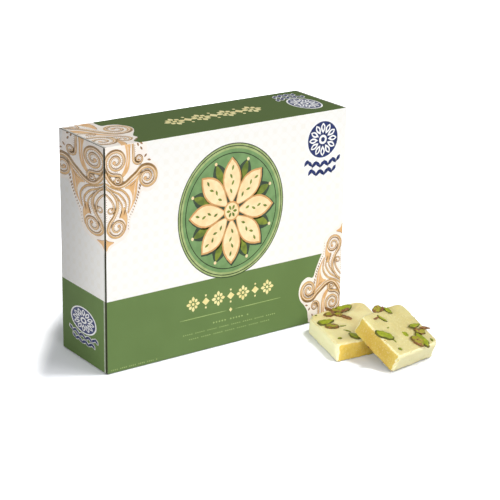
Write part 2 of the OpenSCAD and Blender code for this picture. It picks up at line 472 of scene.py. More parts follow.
@dataclass(frozen=True)
class PaperFinish:
    """Greaseproof paper, a little see-through and faintly oiled."""

    name: str = "greaseproof_paper"
    base: Colour = shade(240, 234, 214)
    oiled: Colour = shade(222, 210, 176)
    stain: float = 16.0
    crease: float = 5.0
    depth: float = 0.12
    roughness: float = 0.62

    def material(self) -> bpy.types.Material:
        """Builds the paper's material.

        Returns:
            The finished material.
        """
        graph = Graph(self.name)
        stain = graph.grain(self.stain, 4.0).rise(0.52, 0.68)
        crease = graph.grain(self.crease, 5.0)
        return graph.surface(
            Base_Color=graph.mix(stain, self.base, self.oiled),
            Roughness=self.roughness - stain * 0.22,
            Normal=graph.bump(crease, self.depth),
            Subsurface_Weight=0.1,
        )


@dataclass(frozen=True)
class BarfiFinish:
    """Set milk sweet: cream on top, paler on its sides as painted light, yellower where a knife cut it."""

    name: str
    cut_ways: tuple[Spot, ...]
    top: Colour = shade(242, 232, 170)
    warm: Colour = shade(232, 214, 148)
    # Painted light: the sides are coloured paler than the top, so that they look brightly lit.
    pale: Colour = shade(253, 247, 198)
    cut: Colour = shade(234, 204, 94)
    deep: Colour = shade(218, 180, 66)
    # Pale edge colour: partly painted highlight on the rounded edges, partly pale crumbly grit.
    rim: Colour = shade(252, 246, 208)
    crumb: Colour = shade(252, 246, 210)
    pit: Colour = shade(206, 178, 96)
    cloud_size: float = 14.0
    grit_size: float = 0.8
    pit_size: float = 1.7
    depth: float = 0.16
    scatter: Spot = (0.0016, 0.0012, 0.0006)

    def material(self) -> bpy.types.Material:
        """Builds the sweet's material.

        Returns:
            The finished material.
        """
        graph = Graph(self.name)
        cloud = graph.grain(self.cloud_size, 3.0)
        grit = graph.grain(self.grit_size, 5.0)
        flat = graph.mix(cloud.rise(0.38, 0.66), self.top, self.warm)
        # Painted light: every face that does not look up takes the paler side colour.
        body = graph.mix(graph.facing((0.0, 0.0, 1.0)).rise(0.75, 0.35), flat, self.pale)
        sliced = graph.mix(cloud.rise(0.35, 0.7), self.cut, self.deep)
        for way in self.cut_ways:
            body = graph.mix(graph.facing(way).rise(0.68, 0.9), body, sliced)
        rim = graph.level(RIM_MASK)
        # Edges turn paler: painted highlight on the rounded edges mixed with crumbly pale grit.
        body = graph.mix(rim.rise(0.2, 0.9) * (0.25 + grit.rise(0.4, 0.6) * 0.45), body, self.rim)
        body = graph.mix(grit.rise(0.56, 0.72) * 0.35, body, self.crumb)
        pits = graph.grain(self.pit_size, 3.0).rise(0.34, 0.24)
        body = graph.mix(pits * 0.4, body, self.pit)
        return graph.surface(
            Base_Color=body,
            Roughness=0.5 + grit * 0.24,
            Normal=graph.bump(grit * 0.7 - pits * 0.8, self.depth),
            Subsurface_Weight=0.18,
            Subsurface_Radius=self.scatter,
            Subsurface_Scale=1.0,
            Specular_IOR_Level=0.45,
        )


@dataclass(frozen=True)
class NutFinish:
    """Cut pistachio: green flesh, a dark rim and scraps of brown skin."""

    name: str
    flesh: Colour
    bright: Colour
    rim: Colour
    skin_share: float
    skin: Colour = shade(112, 74, 40)
    dry_skin: Colour = shade(150, 108, 62)
    cloud_size: float = 2.4
    streak_size: float = 0.7
    depth: float = 0.14
    scatter: Spot = (0.001, 0.001, 0.0004)

    def material(self) -> bpy.types.Material:
        """Builds the nut's material.

        Returns:
            The finished material.
        """
        graph = Graph(self.name)
        cloud = graph.grain(self.cloud_size, 4.0)
        streak = graph.grain(self.streak_size, 4.0)
        cut = graph.level(RIM_MASK)
        flesh = graph.mix(cloud.rise(0.35, 0.65), self.flesh, self.bright)
        flesh = graph.mix(cut.rise(0.2, 0.62) * (0.7 + streak * 0.5), flesh, self.rim)
        share = self.skin_share * 0.5
        patches = (cloud * 0.7 + streak * 0.3).rise(0.62 - share, 0.66 - share)
        skin = graph.mix(streak.rise(0.4, 0.65), self.skin, self.dry_skin)
        return graph.surface(
            Base_Color=graph.mix(patches, flesh, skin),
            Roughness=0.42 + cloud * 0.25,
            Normal=graph.bump(streak * 0.6 + cloud * 0.4, self.depth),
            Subsurface_Weight=0.08,
            Subsurface_Radius=self.scatter,
            Subsurface_Scale=1.0,
            Specular_IOR_Level=0.3,
        )


def smooth_path(points: Loop, step: float = 0.55, closed: bool = False) -> Path:
    """Runs a smooth curve through points.

    Args:
        points: The points, in millimetres.
        step: How far apart the curve's own points lie, at most.
        closed: Whether the curve returns to its start.

    Returns:
        The curve's points.
    """
    count = len(points)
    spans = count if closed else count - 1
    path = []
    for index in range(spans):
        picks = []
        for shift in (-1, 0, 1, 2):
            at = (index + shift) % count if closed else min(max(index + shift, 0), count - 1)
            picks.append(Vector(points[at]))
        before, here, there, after = picks
        pieces = max(1, math.ceil((there - here).length / step))
        for piece in range(pieces):
            t = piece / pieces
            spot = 0.5 * (
                2 * here
                + (there - before) * t
                + (2 * before - 5 * here + 4 * there - after) * t * t
                + (3 * here - before - 3 * there + after) * t ** 3
            )
            path.append((spot.x, spot.y))
    if not closed:
        path.append(tuple(points[-1]))
    return path


def spiral(start: Point, centre: Point, turns: float, inner: float) -> Path:
    """Winds from a point in to a centre.

    Args:
        start: Where it begins.
        centre: What it winds round.
        turns: How many turns, below 0 for the other way round.
        inner: The radius at which it ends.

    Returns:
        Points every 24 degrees.
    """
    outer = math.dist(start, centre)
    first = math.atan2(start[1] - centre[1], start[0] - centre[0])
    steps = max(4, round(abs(turns) * 15))
    path = []
    for index in range(steps + 1):
        share = index / steps
        radius = outer + (inner - outer) * share ** 0.92
        angle = first + turns * math.tau * share
        path.append((centre[0] + radius * math.cos(angle), centre[1] + radius * math.sin(angle)))
    return path


def scroll(points: Loop, centre: Point, turns: float, inner: float) -> Path:
    """Draws a smooth stem that ends in a spiral round a centre."""
    return smooth_path([*points[:-1], *spiral(points[-1], centre, turns, inner)])


def normals(path: Path) -> list[Vector]:
    """Gives the sideways direction, of length 1, at each point of a path.

    Args:
        path: The path's points.

    Returns:
        One direction for each point.
    """
    sides = []
    for index in range(len(path)):
        ahead = Vector(path[min(index + 1, len(path) - 1)])
        behind = Vector(path[max(index - 1, 0)])
        along = (ahead - behind).normalized()
        sides.append(Vector((-along.y, along.x)))
    return sides


def beside(path: Path, offsets: Sequence[float]) -> Path:
    """Shifts each point of a path sideways by its own offset."""
    steps = zip(path, normals(path), offsets)
    return [(spot[0] + side.x * offset, spot[1] + side.y * offset) for spot, side, offset in steps]


@dataclass
class Sheet:
    """A printed side, drawn flat and then folded round the carton."""

    name: str
    body: str
    slot: str
    place: Callable[[float, float, float], Spot]
    low: Point
    high: Point
    folds: tuple[float, ...] = ()
    layer_step: float = 0.018
    sunk: float = -0.01
    marks: dict[Ink, list[Mark]] = field(default_factory=dict)

    def add(self, ink: Ink, spots: list[Point], faces: list[tuple[int, ...]], layer: int) -> None:
        """Keeps one flat mark, with its faces by corner number and the layers of ink under it."""
        self.marks.setdefault(ink, []).append((spots, faces, layer))

    def build(self, inks: dict[Ink, bpy.types.Material]) -> None:
        """Turns the marks into one folded piece for each ink, which rides on the sheet's body.

        Args:
            inks: Each ink's material.
        """
        for ink, marks in self.marks.items():
            mesh = bpy.data.meshes.new(f"{self.name}_{ink.title}")
            flat = bmesh.new()
            for mark in marks:
                self._raise(flat, mark)
            self._cut(flat)
            for vertex in flat.verts:
                vertex.co = Vector(self.place(*vertex.co)) * MM
            bmesh.ops.recalc_face_normals(flat, faces=flat.faces)
            if flat.faces:
                flat.to_mesh(mesh)
                mesh.materials.append(inks[ink])
                carry(link(mesh.name, mesh), self.body)
            flat.free()
        LOG.info("%s: %d inks", self.name, len(self.marks))

    def _raise(self, flat: bmesh.types.BMesh, mark: Mark) -> None:
        """Makes a closed thin solid of one flat mark.

        Args:
            flat: The mesh that takes it.
            mark: Its corners, its faces and how many layers lie under it.
        """
        spots, faces, layer = mark
        height = self.layer_step * (layer + 1)
        upper = [flat.verts.new((x, y, height)) for x, y in spots]
        lower = [flat.verts.new((x, y, self.sunk)) for x, y in spots]
        rims: dict[tuple[int, int], int] = {}
        for face in faces:
            flat.faces.new([upper[i] for i in face])
            flat.faces.new([lower[i] for i in reversed(face)])
            for first, second in zip(face, face[1:] + face[:1]):
                rims[(first, second)] = rims.get((first, second), 0) + 1
        for first, second in rims:
            if (second, first) not in rims:
                flat.faces.new((upper[second], upper[first], lower[first], lower[second]))

    def _cut(self, flat: bmesh.types.BMesh) -> None:
        """Clips the marks at the sheet's edges and creases them at its folds.

        Args:
            flat: The mesh of marks.
        """
        limits = (
            ((self.low[0], 0, 0), (-1, 0, 0)),
            ((self.high[0], 0, 0), (1, 0, 0)),
            ((0, self.low[1], 0), (0, -1, 0)),
            ((0, self.high[1], 0), (0, 1, 0)),
        )
        for spot, way in limits:
            self._slice(flat, spot, way, True)
            open_edges = [edge for edge in flat.edges if edge.is_boundary]
            if open_edges:
                bmesh.ops.holes_fill(flat, edges=open_edges, sides=0)
        for fold in self.folds:
            self._slice(flat, (0, fold, 0), (0, 1, 0), False)

    @staticmethod
    def _slice(flat: bmesh.types.BMesh, spot: Spot, way: Spot, clear: bool) -> None:
        """Cuts all the marks along a plane and may clear what lies past it."""
        geometry = [*flat.verts, *flat.edges, *flat.faces]
        bmesh.ops.bisect_plane(flat, geom=geometry, plane_co=spot, plane_no=way, clear_outer=clear)


@dataclass
class Stem:
    """The middle line of a scroll and how wide it is along it."""

    path: Path
    start: float
    peak: float
    end: float
    peak_share: float = 0.3
    bud: float = 0.6
    beaded: bool = True

    def widths(self) -> list[float]:
        """Gives the width at each point, thin at the root and widest at the peak.

        Returns:
            The widths, in millimetres.
        """
        count = len(self.path) - 1
        widths = []
        for index in range(count + 1):
            share = index / count
            if share < self.peak_share:
                swell = math.sin(share / self.peak_share * math.pi / 2)
                widths.append(self.start + (self.peak - self.start) * swell)
            else:
                fall = (share - self.peak_share) / (1 - self.peak_share)
                widths.append(self.peak + (self.end - self.peak) * fall)
        return widths


@dataclass
class Pen:
    """Draws on a sheet in a motif's own millimetres."""

    sheet: Sheet
    origin: Point = (0.0, 0.0)
    stretch: Point = (1.0, 1.0)
    border: float = 1.3
    edge: float = 0.3
    bud_edge: float = 0.18
    bead: float = 0.17
    bead_pitch: float = 0.85
    bead_gap: float = 0.6
    shade_place: float = 0.27
    shade_width: float = 0.46
    shade_least: float = 0.04
    glint_place: float = 0.12
    glint_width: float = 0.09
    glint_least: float = 0.03

    def move(self, spot: Point) -> Point:
        """Takes a point of the motif to its place on the sheet."""
        return (self.origin[0] + spot[0] * self.stretch[0], self.origin[1] + spot[1] * self.stretch[1])

    def fill(self, ink: Ink, outline: Loop, layer: int) -> None:
        """Fills an outline.

        Args:
            ink: Its ink.
            outline: Its corners, in order.
            layer: How many layers lie under it.
        """
        spots = [self.move(spot) for spot in outline]
        area = sum(a[0] * b[1] - b[0] * a[1] for a, b in zip(spots, spots[1:] + spots[:1]))
        order = range(len(spots)) if area > 0 else reversed(range(len(spots)))
        self.sheet.add(ink, spots, [tuple(order)], layer)

    def leaf(self, ink: Ink, outline: Loop, layer: int, step: float = 0.7) -> None:
        """Fills a smooth closed outline."""
        self.fill(ink, smooth_path(outline, step, closed=True), layer)

    def shaded_leaf(self, outline: Loop, shift: float) -> None:
        """Fills a leaf over its own shifted shade."""
        self.leaf(Ink.BROWN, [(x + shift, y - shift) for x, y in outline], 2)
        self.leaf(Ink.TAN, outline, 3)

    def dot(self, ink: Ink, centre: Point, radius: float, layer: int, sides: int = 8) -> None:
        """Fills a round dot."""
        self.fill(ink, ring(centre, radius, radius, sides), layer)

    def ribbon(self, ink: Ink, path: Path, widths: Sequence[float], layer: int) -> None:
        """Draws a band of changing width.

        Args:
            ink: Its ink.
            path: Its middle line.
            widths: Its width at each point.
            layer: How many layers lie under it.
        """
        left = beside(path, [width / 2 for width in widths])
        right = beside(path, [-width / 2 for width in widths])
        spots = [self.move(spot) for pair in zip(left, right) for spot in pair]
        faces = [(at, at + 2, at + 3, at + 1) for at in range(0, 2 * len(path) - 2, 2)]
        self.sheet.add(ink, spots, faces, layer)

    def diamond(self, ink: Ink, centre: Point, wide: float, tall: float) -> None:
        """Fills a lozenge, given by its centre and half its width and height."""
        x, y = centre
        self.fill(ink, ((x - wide, y), (x, y - tall), (x + wide, y), (x, y + tall)), 1)

    def line(self, ink: Ink, path: Path, width: float, layer: int) -> None:
        """Draws a line that thins out at both ends.

        Args:
            ink: Its ink.
            path: Its middle line.
            width: Its width in the middle.
            layer: How many layers lie under it.
        """
        count = len(path) - 1
        swells = [max(0.0, math.sin(math.pi * index / count)) ** 0.5 for index in range(count + 1)]
        self.ribbon(ink, path, [width * (0.25 + 0.75 * swell) for swell in swells], layer)

    def beads(self, ink: Ink, path: Path, radius: float, spacing: float, layer: int) -> None:
        """Sets round beads along a path.

        Args:
            ink: Their ink.
            path: The line that they follow.
            radius: Their radius.
            spacing: How far apart they are.
            layer: How many layers lie under them.
        """
        run = spacing
        for here, there in zip(path, path[1:]):
            run += math.dist(here, there)
            if run >= spacing:
                self.dot(ink, there, radius, layer, 6)
                run = 0.0

    def band(self, stem: Stem, hand: int) -> None:
        """Draws a gold scroll with its pale border, brown edges, shaded side and beads.

        Args:
            stem: Its middle line and widths.
            hand: 1 where the spiral's inside is on the left of the line, -1 on the right.
        """
        base = 2
        path, widths = stem.path, stem.widths()
        self.ribbon(Ink.CREAM, path, [width + self.border for width in widths], base)
        self.ribbon(Ink.BROWN, path, [width + self.edge for width in widths], base + 1)
        self.ribbon(Ink.GOLD, path, widths, base + 2)
        lifts = [-side.y for side in normals(path)]
        offsets, shades = [], []
        for width, lift in zip(widths, lifts):
            offsets.append(width * self.shade_place * (1 if lift > 0 else -1))
            shades.append(max(self.shade_least, width * self.shade_width * abs(lift) ** 1.3))
        self.ribbon(Ink.OLIVE, beside(path, offsets), shades, base + 3)
        glint = beside(path, [width * self.glint_place * hand for width in widths])
        glints = [width * self.glint_width + self.glint_least for width in widths]
        self.ribbon(Ink.CREAM, glint, glints, base + 4)
        self.dot(Ink.BROWN, path[-1], stem.bud + self.bud_edge, base + 1, 12)
        self.dot(Ink.TAN, path[-1], stem.bud, base + 3, 12)
        if stem.beaded:
            outer = beside(path, [hand * (width / 2 + self.bead_gap) for width in widths])
            self.beads(Ink.OLIVE, outer, self.bead, self.bead_pitch, base + 1)


def ring(centre: Point, wide: float, tall: float, sides: int) -> Path:
    """Gives the points of an ellipse by its centre and half its width and height."""
    angles = [math.tau * index / sides for index in range(sides)]
    return [(centre[0] + wide * math.cos(angle), centre[1] + tall * math.sin(angle)) for angle in angles]


def petal(centre: Point, angle: float, near: float, far: float, width: float) -> Path:
    """Gives a pointed petal that points away from a centre.

    Args:
        centre: The flower's centre.
        angle: Its direction, in degrees.
        near: Where it begins.
        far: Where it ends.
        width: Its width.

    Returns:
        Its outline.
    """
    way = Vector((math.cos(math.radians(angle)), math.sin(math.radians(angle))))
    side = Vector((-way.y, way.x))
    outline = []
    steps = 9
    for hand in (1, -1):
        for index in range(steps):
            share = index / steps if hand > 0 else 1 - index / steps
            out = near + (far - near) * share
            half = width / 2 * max(0.0, math.sin(math.pi * share ** 1.15)) ** 0.85
            spot = way * out + side * half * hand
            outline.append((centre[0] + spot.x, centre[1] + spot.y))
    return outline


def carry(piece: bpy.types.Object, body: str, replaced: str = "") -> None:
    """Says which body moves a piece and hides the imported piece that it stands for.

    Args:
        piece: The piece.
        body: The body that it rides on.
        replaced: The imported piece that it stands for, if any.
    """
    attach(piece, body)
    if replaced:
        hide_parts(replaced)


def link(name: str, mesh: bpy.types.Mesh) -> bpy.types.Object:
    """Puts a mesh into the scene.

    Args:
        name: The new piece's name.
        mesh: Its mesh.

    Returns:
        The piece.
    """
    piece = bpy.data.objects.new(name, mesh)
    bpy.context.scene.collection.objects.link(piece)
    return piece


class Motif:
    """A part of the print, which is drawn in its own millimetres."""

    pen: Pen

    def draw(self, pen: Pen) -> None:
        """Draws the motif with a pen that knows its place and stretch."""
        self.pen = pen
        self.trace()

    def trace(self) -> None:
        """Draws the motif's own lines and fills."""
        raise NotImplementedError


@dataclass
class CornerScroll(Motif):
    """The scroll ornament of an upright corner.

    Its own millimetres run away from the corner and down from the edge.
    """

    line: float = 0.75

    def trace(self) -> None:
        """Draws the ornament on its pale ground."""
        self._ground()
        self._leaves()
        self._shoulders()
        self._drop()
        self._stem()
        self._bulge()
        self._crown()
        self._trail()

    def _ground(self) -> None:
        """Lays the pale ground that keeps the ornament off its panel."""
        outline = (
            (-1, -1), (23, -1), (25.4, 1.5), (26.4, 6.6), (28.9, 10.6), (32.2, 14.4), (33.4, 19.8),
            (31.4, 25.2), (26.8, 27.6), (22.6, 26.8), (20.6, 31.4), (18.2, 36.6), (15.6, 41.6), (15.0, 46.6),
            (12.6, 50.8), (7.0, 53.4), (4.2, 54.6), (1.4, 57.2), (-1, 58),
        )
        self.pen.leaf(Ink.CREAM, outline, 0, 1.2)

    def _leaves(self) -> None:
        """Fills the long leaves between the scrolls."""
        shoulder = (
            (21.4, 16.6), (18.8, 19.6), (15.0, 21.9), (11.9, 23.4), (14.8, 24.8), (16.6, 28.4), (16.3, 32.6),
            (13.8, 38.0), (17.6, 32.4), (19.2, 27.4), (19.8, 22.0),
        )
        lower = (
            (11.2, 34.0), (12.8, 37.4), (13.3, 41.4), (12.2, 47.0), (12.2, 42.8), (10.4, 40.0), (8.4, 39.0),
        )
        tip = ((-1.0, 49.6), (1.6, 51.2), (5.0, 52.4), (3.0, 53.4), (1.6, 54.4), (0.6, 56.4), (-1.0, 57.0))
        upper = (
            (12.2, -1.0), (15.4, -1.0), (15.2, 4.0), (15.2, 8.6), (14.4, 13.4), (12.2, 16.6), (9.2, 18.0),
            (12.0, 12.6), (13.1, 8.2), (13.0, 4.0),
        )
        for outline in (shoulder, lower, tip, upper):
            self.pen.shaded_leaf(outline, 0.16)
        veins = (
            (Ink.CREAM, ((18.6, 21.0), (17.9, 26.0), (17.2, 31.0))),
            (Ink.CREAM, ((14.0, 1.0), (14.2, 7.0), (13.4, 12.4))),
            (Ink.BROWN, ((15.0, 22.9), (17.5, 21.8), (19.2, 19.9))),
        )
        for ink, vein in veins:
            self.pen.line(ink, smooth_path(vein), 0.3, 4)

    def _shoulders(self) -> None:
        """Draws the fine lines between the drop and the shoulder leaf."""
        lines = (
            ((-0.5, 18.6), (4.2, 22.0), (11.0, 25.0), (14.8, 30.6), (13.7, 37.6)),
            ((-0.5, 20.4), (4.2, 23.8), (9.2, 27.0), (12.6, 32.4), (11.2, 38.2)),
            ((-0.4, 21.8), (4.0, 25.0), (8.0, 29.0), (10.3, 33.6), (8.6, 39.6)),
        )
        for index, line in enumerate(lines):
            path = smooth_path(line)
            width = self.line * (1.25 - 0.2 * index)
            self.pen.line(Ink.BROWN, path, width + 0.34, 2)
            self.pen.line(Ink.GOLD, path, width, 3)
            self.pen.beads(Ink.OLIVE, beside(path, [0.95] * len(path))[3:-3], 0.16, 0.85, 2)

    def _drop(self) -> None:
        """Draws the hanging drop and the spiral below it."""
        outline = ((-0.6, 19.8), (3.6, 24.4), (6.7, 28.8), (7.5, 33.4), (5.5, 38.0), (2.9, 41.2), (1.7, 45.0))
        self.pen.band(Stem(scroll(outline, (7.3, 44.6), -1.6, 1.2), 0.6, 1.95, 0.9, 0.45, 0.75), -1)
        seed = ((-0.4, 24.4), (2.8, 27.8), (5.0, 31.6), (5.2, 34.6))
        self.pen.band(Stem(scroll(seed, (3.2, 34.4), 0.95, 0.9), 0.6, 0.95, 0.5, 0.4, 0.5, False), 1)
        self.pen.beads(Ink.BROWN, smooth_path(((0.7, 28.0), (0.7, 31.0), (0.8, 40.4))), 0.22, 1.0, 2)
        self.pen.beads(Ink.OLIVE, smooth_path(((3.4, 37.8), (1.9, 39.8), (0.7, 43.0))), 0.2, 0.95, 2)

    def _stem(self) -> None:
        """Draws the small stem on the far side of the crown."""
        rise = ((16.9, -1.2), (17.3, 3.0), (17.3, 6.0), (17.4, 8.6))
        self.pen.band(Stem(scroll(rise, (20.5, 8.7), -1.3, 0.9), 1.0, 1.35, 0.6, 0.4, 0.55), -1)
        buds = ((20.2, 0.8, 70), (22.2, 3.2, 58), (24.8, 7.6, -50), (27.0, 10.2, 15), (22.2, 0.4, 40))
        for across, down, angle in buds:
            self.pen.fill(Ink.BROWN, petal((across, down), angle, -1.2, 1.2, 1.05), 2)

    def _bulge(self) -> None:
        """Draws the wide band that swings out into the side spiral."""
        swing = (
            (-0.8, 10.8), (0.5, 13.8), (2.6, 17.6), (5.4, 20.7), (8.7, 21.9), (12.5, 21.0), (16.2, 18.6),
            (19.4, 16.4), (22.2, 13.9),
        )
        self.pen.band(Stem(scroll(swing, (25.7, 19.4), 1.75, 1.2), 1.9, 2.75, 1.1, 0.42, 0.95), 1)

    def _crown(self) -> None:
        """Draws the big spiral and the little one that its tail ends in."""
        curl = list(reversed(spiral((10.1, 18.2), (7.7, 18.7), 1.15, 0.8)))
        self.pen.dot(Ink.BROWN, (7.7, 18.7), 0.55, 4, 12)
        tail = (*curl, (9.4, 16.5), (7.4, 15.7), (4.2, 15.1), (1.3, 12.8), (0.1, 8.9))
        self.pen.band(Stem(scroll(tail, (6.7, 8.5), 1.95, 1.1), 0.45, 2.05, 0.9, 0.42, 0.9), 1)

    def _trail(self) -> None:
        """Sets the trail of small leaves along the outer side."""
        trail = ((21.3, 23.4), (20.4, 27.0), (19.0, 31.4), (17.0, 36.0), (14.4, 41.2), (14.0, 47.4))
        for index, spot in enumerate(smooth_path(trail, 1.9)[:-1]):
            size = max(0.4, 1.1 - 0.06 * index)
            self.pen.fill(Ink.BROWN, petal(spot, 62, -size, size, size * 0.9), 2)


class LidScroll(Motif):
    """The ornament on the top, whose millimetres run in from the corner."""

    def trace(self) -> None:
        """Draws the ornament on its pale ground."""
        self._ground()
        self._leaves()
        self._spirals()
        for spot in ((22.0, 5.2), (24.2, 7.4), (22.4, 9.4)):
            self.pen.fill(Ink.BROWN, petal(spot, 40, -1.1, 1.1, 1.0), 2)
        lines = (
            ((12.4, 50.0), (12.0, 42.0), (12.8, 36.0), (14.8, 31.0)),
            ((0.0, 23.6), (5.0, 22.4), (10.4, 18.8), (12.8, 13.4)),
        )
        for line in lines:
            self.pen.beads(Ink.OLIVE, smooth_path(line), 0.24, 1.1, 2)

    def _ground(self) -> None:
        """Lays the pale ground of the ornament."""
        outline = (
            (-2, -2), (19.6, -2), (19.9, 3.4), (22.6, 6.6), (25.8, 9.4), (25.4, 13.0), (27.8, 16.8),
            (31.6, 22.4), (32.8, 29.2), (30.2, 35.6), (25.2, 38.2), (21.0, 38.4), (20.2, 44.2), (19.4, 50),
            (-2, 50),
        )
        self.pen.leaf(Ink.CREAM, outline, 0, 1.2)

    def _leaves(self) -> None:
        """Fills the long leaves between the spirals."""
        long_leaf = (
            (-1.0, 39.6), (5.0, 36.4), (9.0, 30.6), (12.0, 25.0), (15.8, 20.2), (20.4, 17.0), (14.0, 19.6),
            (8.8, 24.4), (5.2, 30.0), (1.4, 33.6), (-1.0, 34.6),
        )
        wedge = (
            (15.6, 50.0), (17.4, 44.0), (17.0, 38.6), (15.0, 33.4), (13.8, 38.8), (12.2, 43.4), (10.0, 50.0),
        )
        near = ((12.6, -1.0), (14.6, 3.6), (13.6, 9.0), (11.2, 12.2), (11.6, 6.4), (10.8, 2.0), (9.8, -1.0))
        for outline in (long_leaf, wedge, near):
            self.pen.shaded_leaf(outline, 0.2)

    def _spirals(self) -> None:
        """Draws the bands, from the widest to the least."""
        sweep = ((-1.0, 46.0), (4.0, 42.4), (8.4, 37.2), (12.0, 30.8), (15.2, 25.2), (18.6, 21.4))
        self.pen.band(Stem(scroll(sweep, (24.0, 28.6), 1.7, 1.7), 1.9, 3.1, 1.4, 0.4, 1.2), 1)
        small = (0.8, 1.3, 0.6, 0.4, 0.6)
        curls = (
            (((-1.6, 19.8), (0.6, 20.6), (3.8, 20.2)), (5.4, 11.6), -1.75, 1.3, (1.7, 2.6, 1.1, 0.3, 1.0)),
            (((10.8, 17.4), (13.6, 16.4), (17.2, 15.2)), (17.4, 10.0), -1.35, 1.0, (0.9, 1.8, 0.8, 0.4, 0.8)),
            (((-1.0, 30.4), (2.4, 30.6), (5.4, 29.4)), (6.2, 25.8), -1.2, 0.8, small),
            (((9.2, 50.0), (9.6, 46.6), (8.8, 43.4)), (5.4, 43.0), -1.1, 0.8, small),
        )
        for stem, centre, turns, inner, widths in curls:
            self.pen.band(Stem(scroll(stem, centre, turns, inner), *widths), -1)


@dataclass
class Garland(Motif):
    """A row of flowers and lozenges, where a carton has its heading."""

    width: float
    height: float
    flowers: int = 4
    ink: Ink = Ink.PALE

    def trace(self) -> None:
        """Draws the row."""
        places = 2 * self.flowers - 1
        pitch = self.width / places
        tall = self.height / 2
        for index in range(places):
            x = (index - (places - 1) / 2) * pitch
            if index % 2:
                self.pen.diamond(self.ink, (x, 0), pitch * 0.3, tall * 0.5)
                for y in (-tall * 0.8, tall * 0.8):
                    self.pen.dot(self.ink, (x, y), tall * 0.14, 1)
                continue
            for turn in range(8):
                reach = tall if turn % 2 == 0 else tall * 0.84
                self.pen.fill(self.ink, petal((x, 0.0), 45 * turn, tall * 0.3, reach, tall * 0.42), 1)
            self.pen.dot(self.ink, (x, 0.0), tall * 0.2, 1, 12)


@dataclass
class Rosette(Motif):
    """A round flower with a small garland below it."""

    radius: float
    petals: int = 12

    def trace(self) -> None:
        """Draws the flower and the garland."""
        size = self.radius
        self.pen.fill(Ink.WHITE, ring((0, 0), size * 1.1, size * 1.1, 36), 0)
        self.pen.fill(Ink.NAVY, ring((0, 0), size, size, 36), 1)
        for index in range(self.petals):
            angle = 360 * index / self.petals
            self.pen.fill(Ink.WHITE, petal((0, 0), angle, size * 0.34, size * 0.92, size * 0.3), 2)
            self.pen.fill(Ink.NAVY, petal((0, 0), angle, size * 0.5, size * 0.82, size * 0.12), 3)
        self.pen.dot(Ink.WHITE, (0, 0), size * 0.26, 2, 18)
        self.pen.dot(Ink.NAVY, (0, 0), size * 0.13, 3, 12)
        for row, drop in enumerate((1.36, 1.82)):
            steps = 4 - row
            for index in range(-steps, steps + 1):
                spot = (index * size * 0.27, -size * (drop - 0.012 * index * index))
                kind = 90 + (35 if (index + row) % 2 else -35)
                self.pen.fill(Ink.WHITE, petal(spot, kind, -size * 0.27, size * 0.27, size * 0.3), 1)
                self.pen.fill(Ink.NAVY, petal(spot, kind, -size * 0.21, size * 0.21, size * 0.2), 2)


@dataclass
class Medallion(Motif):
    """The round green medallion in the middle of the front."""

    wide: float = 35.4
    tall: float = 38.8
    petals: int = 8

    def trace(self) -> None:
        """Draws the medallion, in shares of its radius."""
        stretch = Pen(self.pen.sheet, self.pen.origin, (self.wide, self.tall))
        rings = (
            (Ink.RIM, 1.0), (Ink.LEAD, 0.985), (Ink.RIM, 0.962), (Ink.LEAD, 0.948), (Ink.SAGE, 0.915),
            (Ink.RIM, 0.865), (Ink.SAGE, 0.85),
        )
        for layer, (ink, radius) in enumerate(rings):
            stretch.fill(ink, ring((0, 0), radius, radius, 96), layer)
        top = len(rings)
        stretch.fill(Ink.SHADOW, ring((0, 0), 0.47, 0.47, 64), top)
        for index in range(self.petals):
            angle = 360 * (index + 0.5) / self.petals
            stretch.fill(Ink.SHADOW, petal((0, 0), angle, 0.3, 0.8, 0.27), top)
            stretch.fill(Ink.NUT, petal((0, 0), angle, 0.42, 0.77, 0.12), top + 1)
            stretch.dot(Ink.CUSTARD, self._spot(angle, 0.79), 0.026, top + 1)
        for index in range(self.petals):
            angle = 360 * index / self.petals
            stretch.fill(Ink.SHADOW, petal((0.012, -0.014), angle, 0.1, 0.82, 0.37), top + 1)
            stretch.fill(Ink.TOAST, petal((0, 0), angle, 0.1, 0.8, 0.35), top + 2)
            stretch.fill(Ink.CUSTARD, petal((0, 0), angle, 0.12, 0.765, 0.3), top + 3)
            for out, lean in ((0.3, 24), (0.42, -30), (0.52, 28), (0.64, -18)):
                way = 1 if lean > 0 else -1
                spot = self._spot(angle + way * 4.5 * (0.9 - out), out)
                stretch.fill(Ink.NUT, petal(spot, angle + lean, -0.042, 0.042, 0.036), top + 4)
        stretch.dot(Ink.TOAST, (0, 0), 0.15, top + 4, 24)
        stretch.dot(Ink.CUSTARD, (0, 0), 0.125, top + 5, 24)
        for index in range(6):
            stretch.fill(Ink.NUT, petal((0, 0), 60 * index, 0.02, 0.1, 0.04), top + 6)

    @staticmethod
    def _spot(angle: float, out: float) -> Point:
        """Gives a point at an angle in degrees and a share of the radius."""
        return (out * math.cos(math.radians(angle)), out * math.sin(math.radians(angle)))


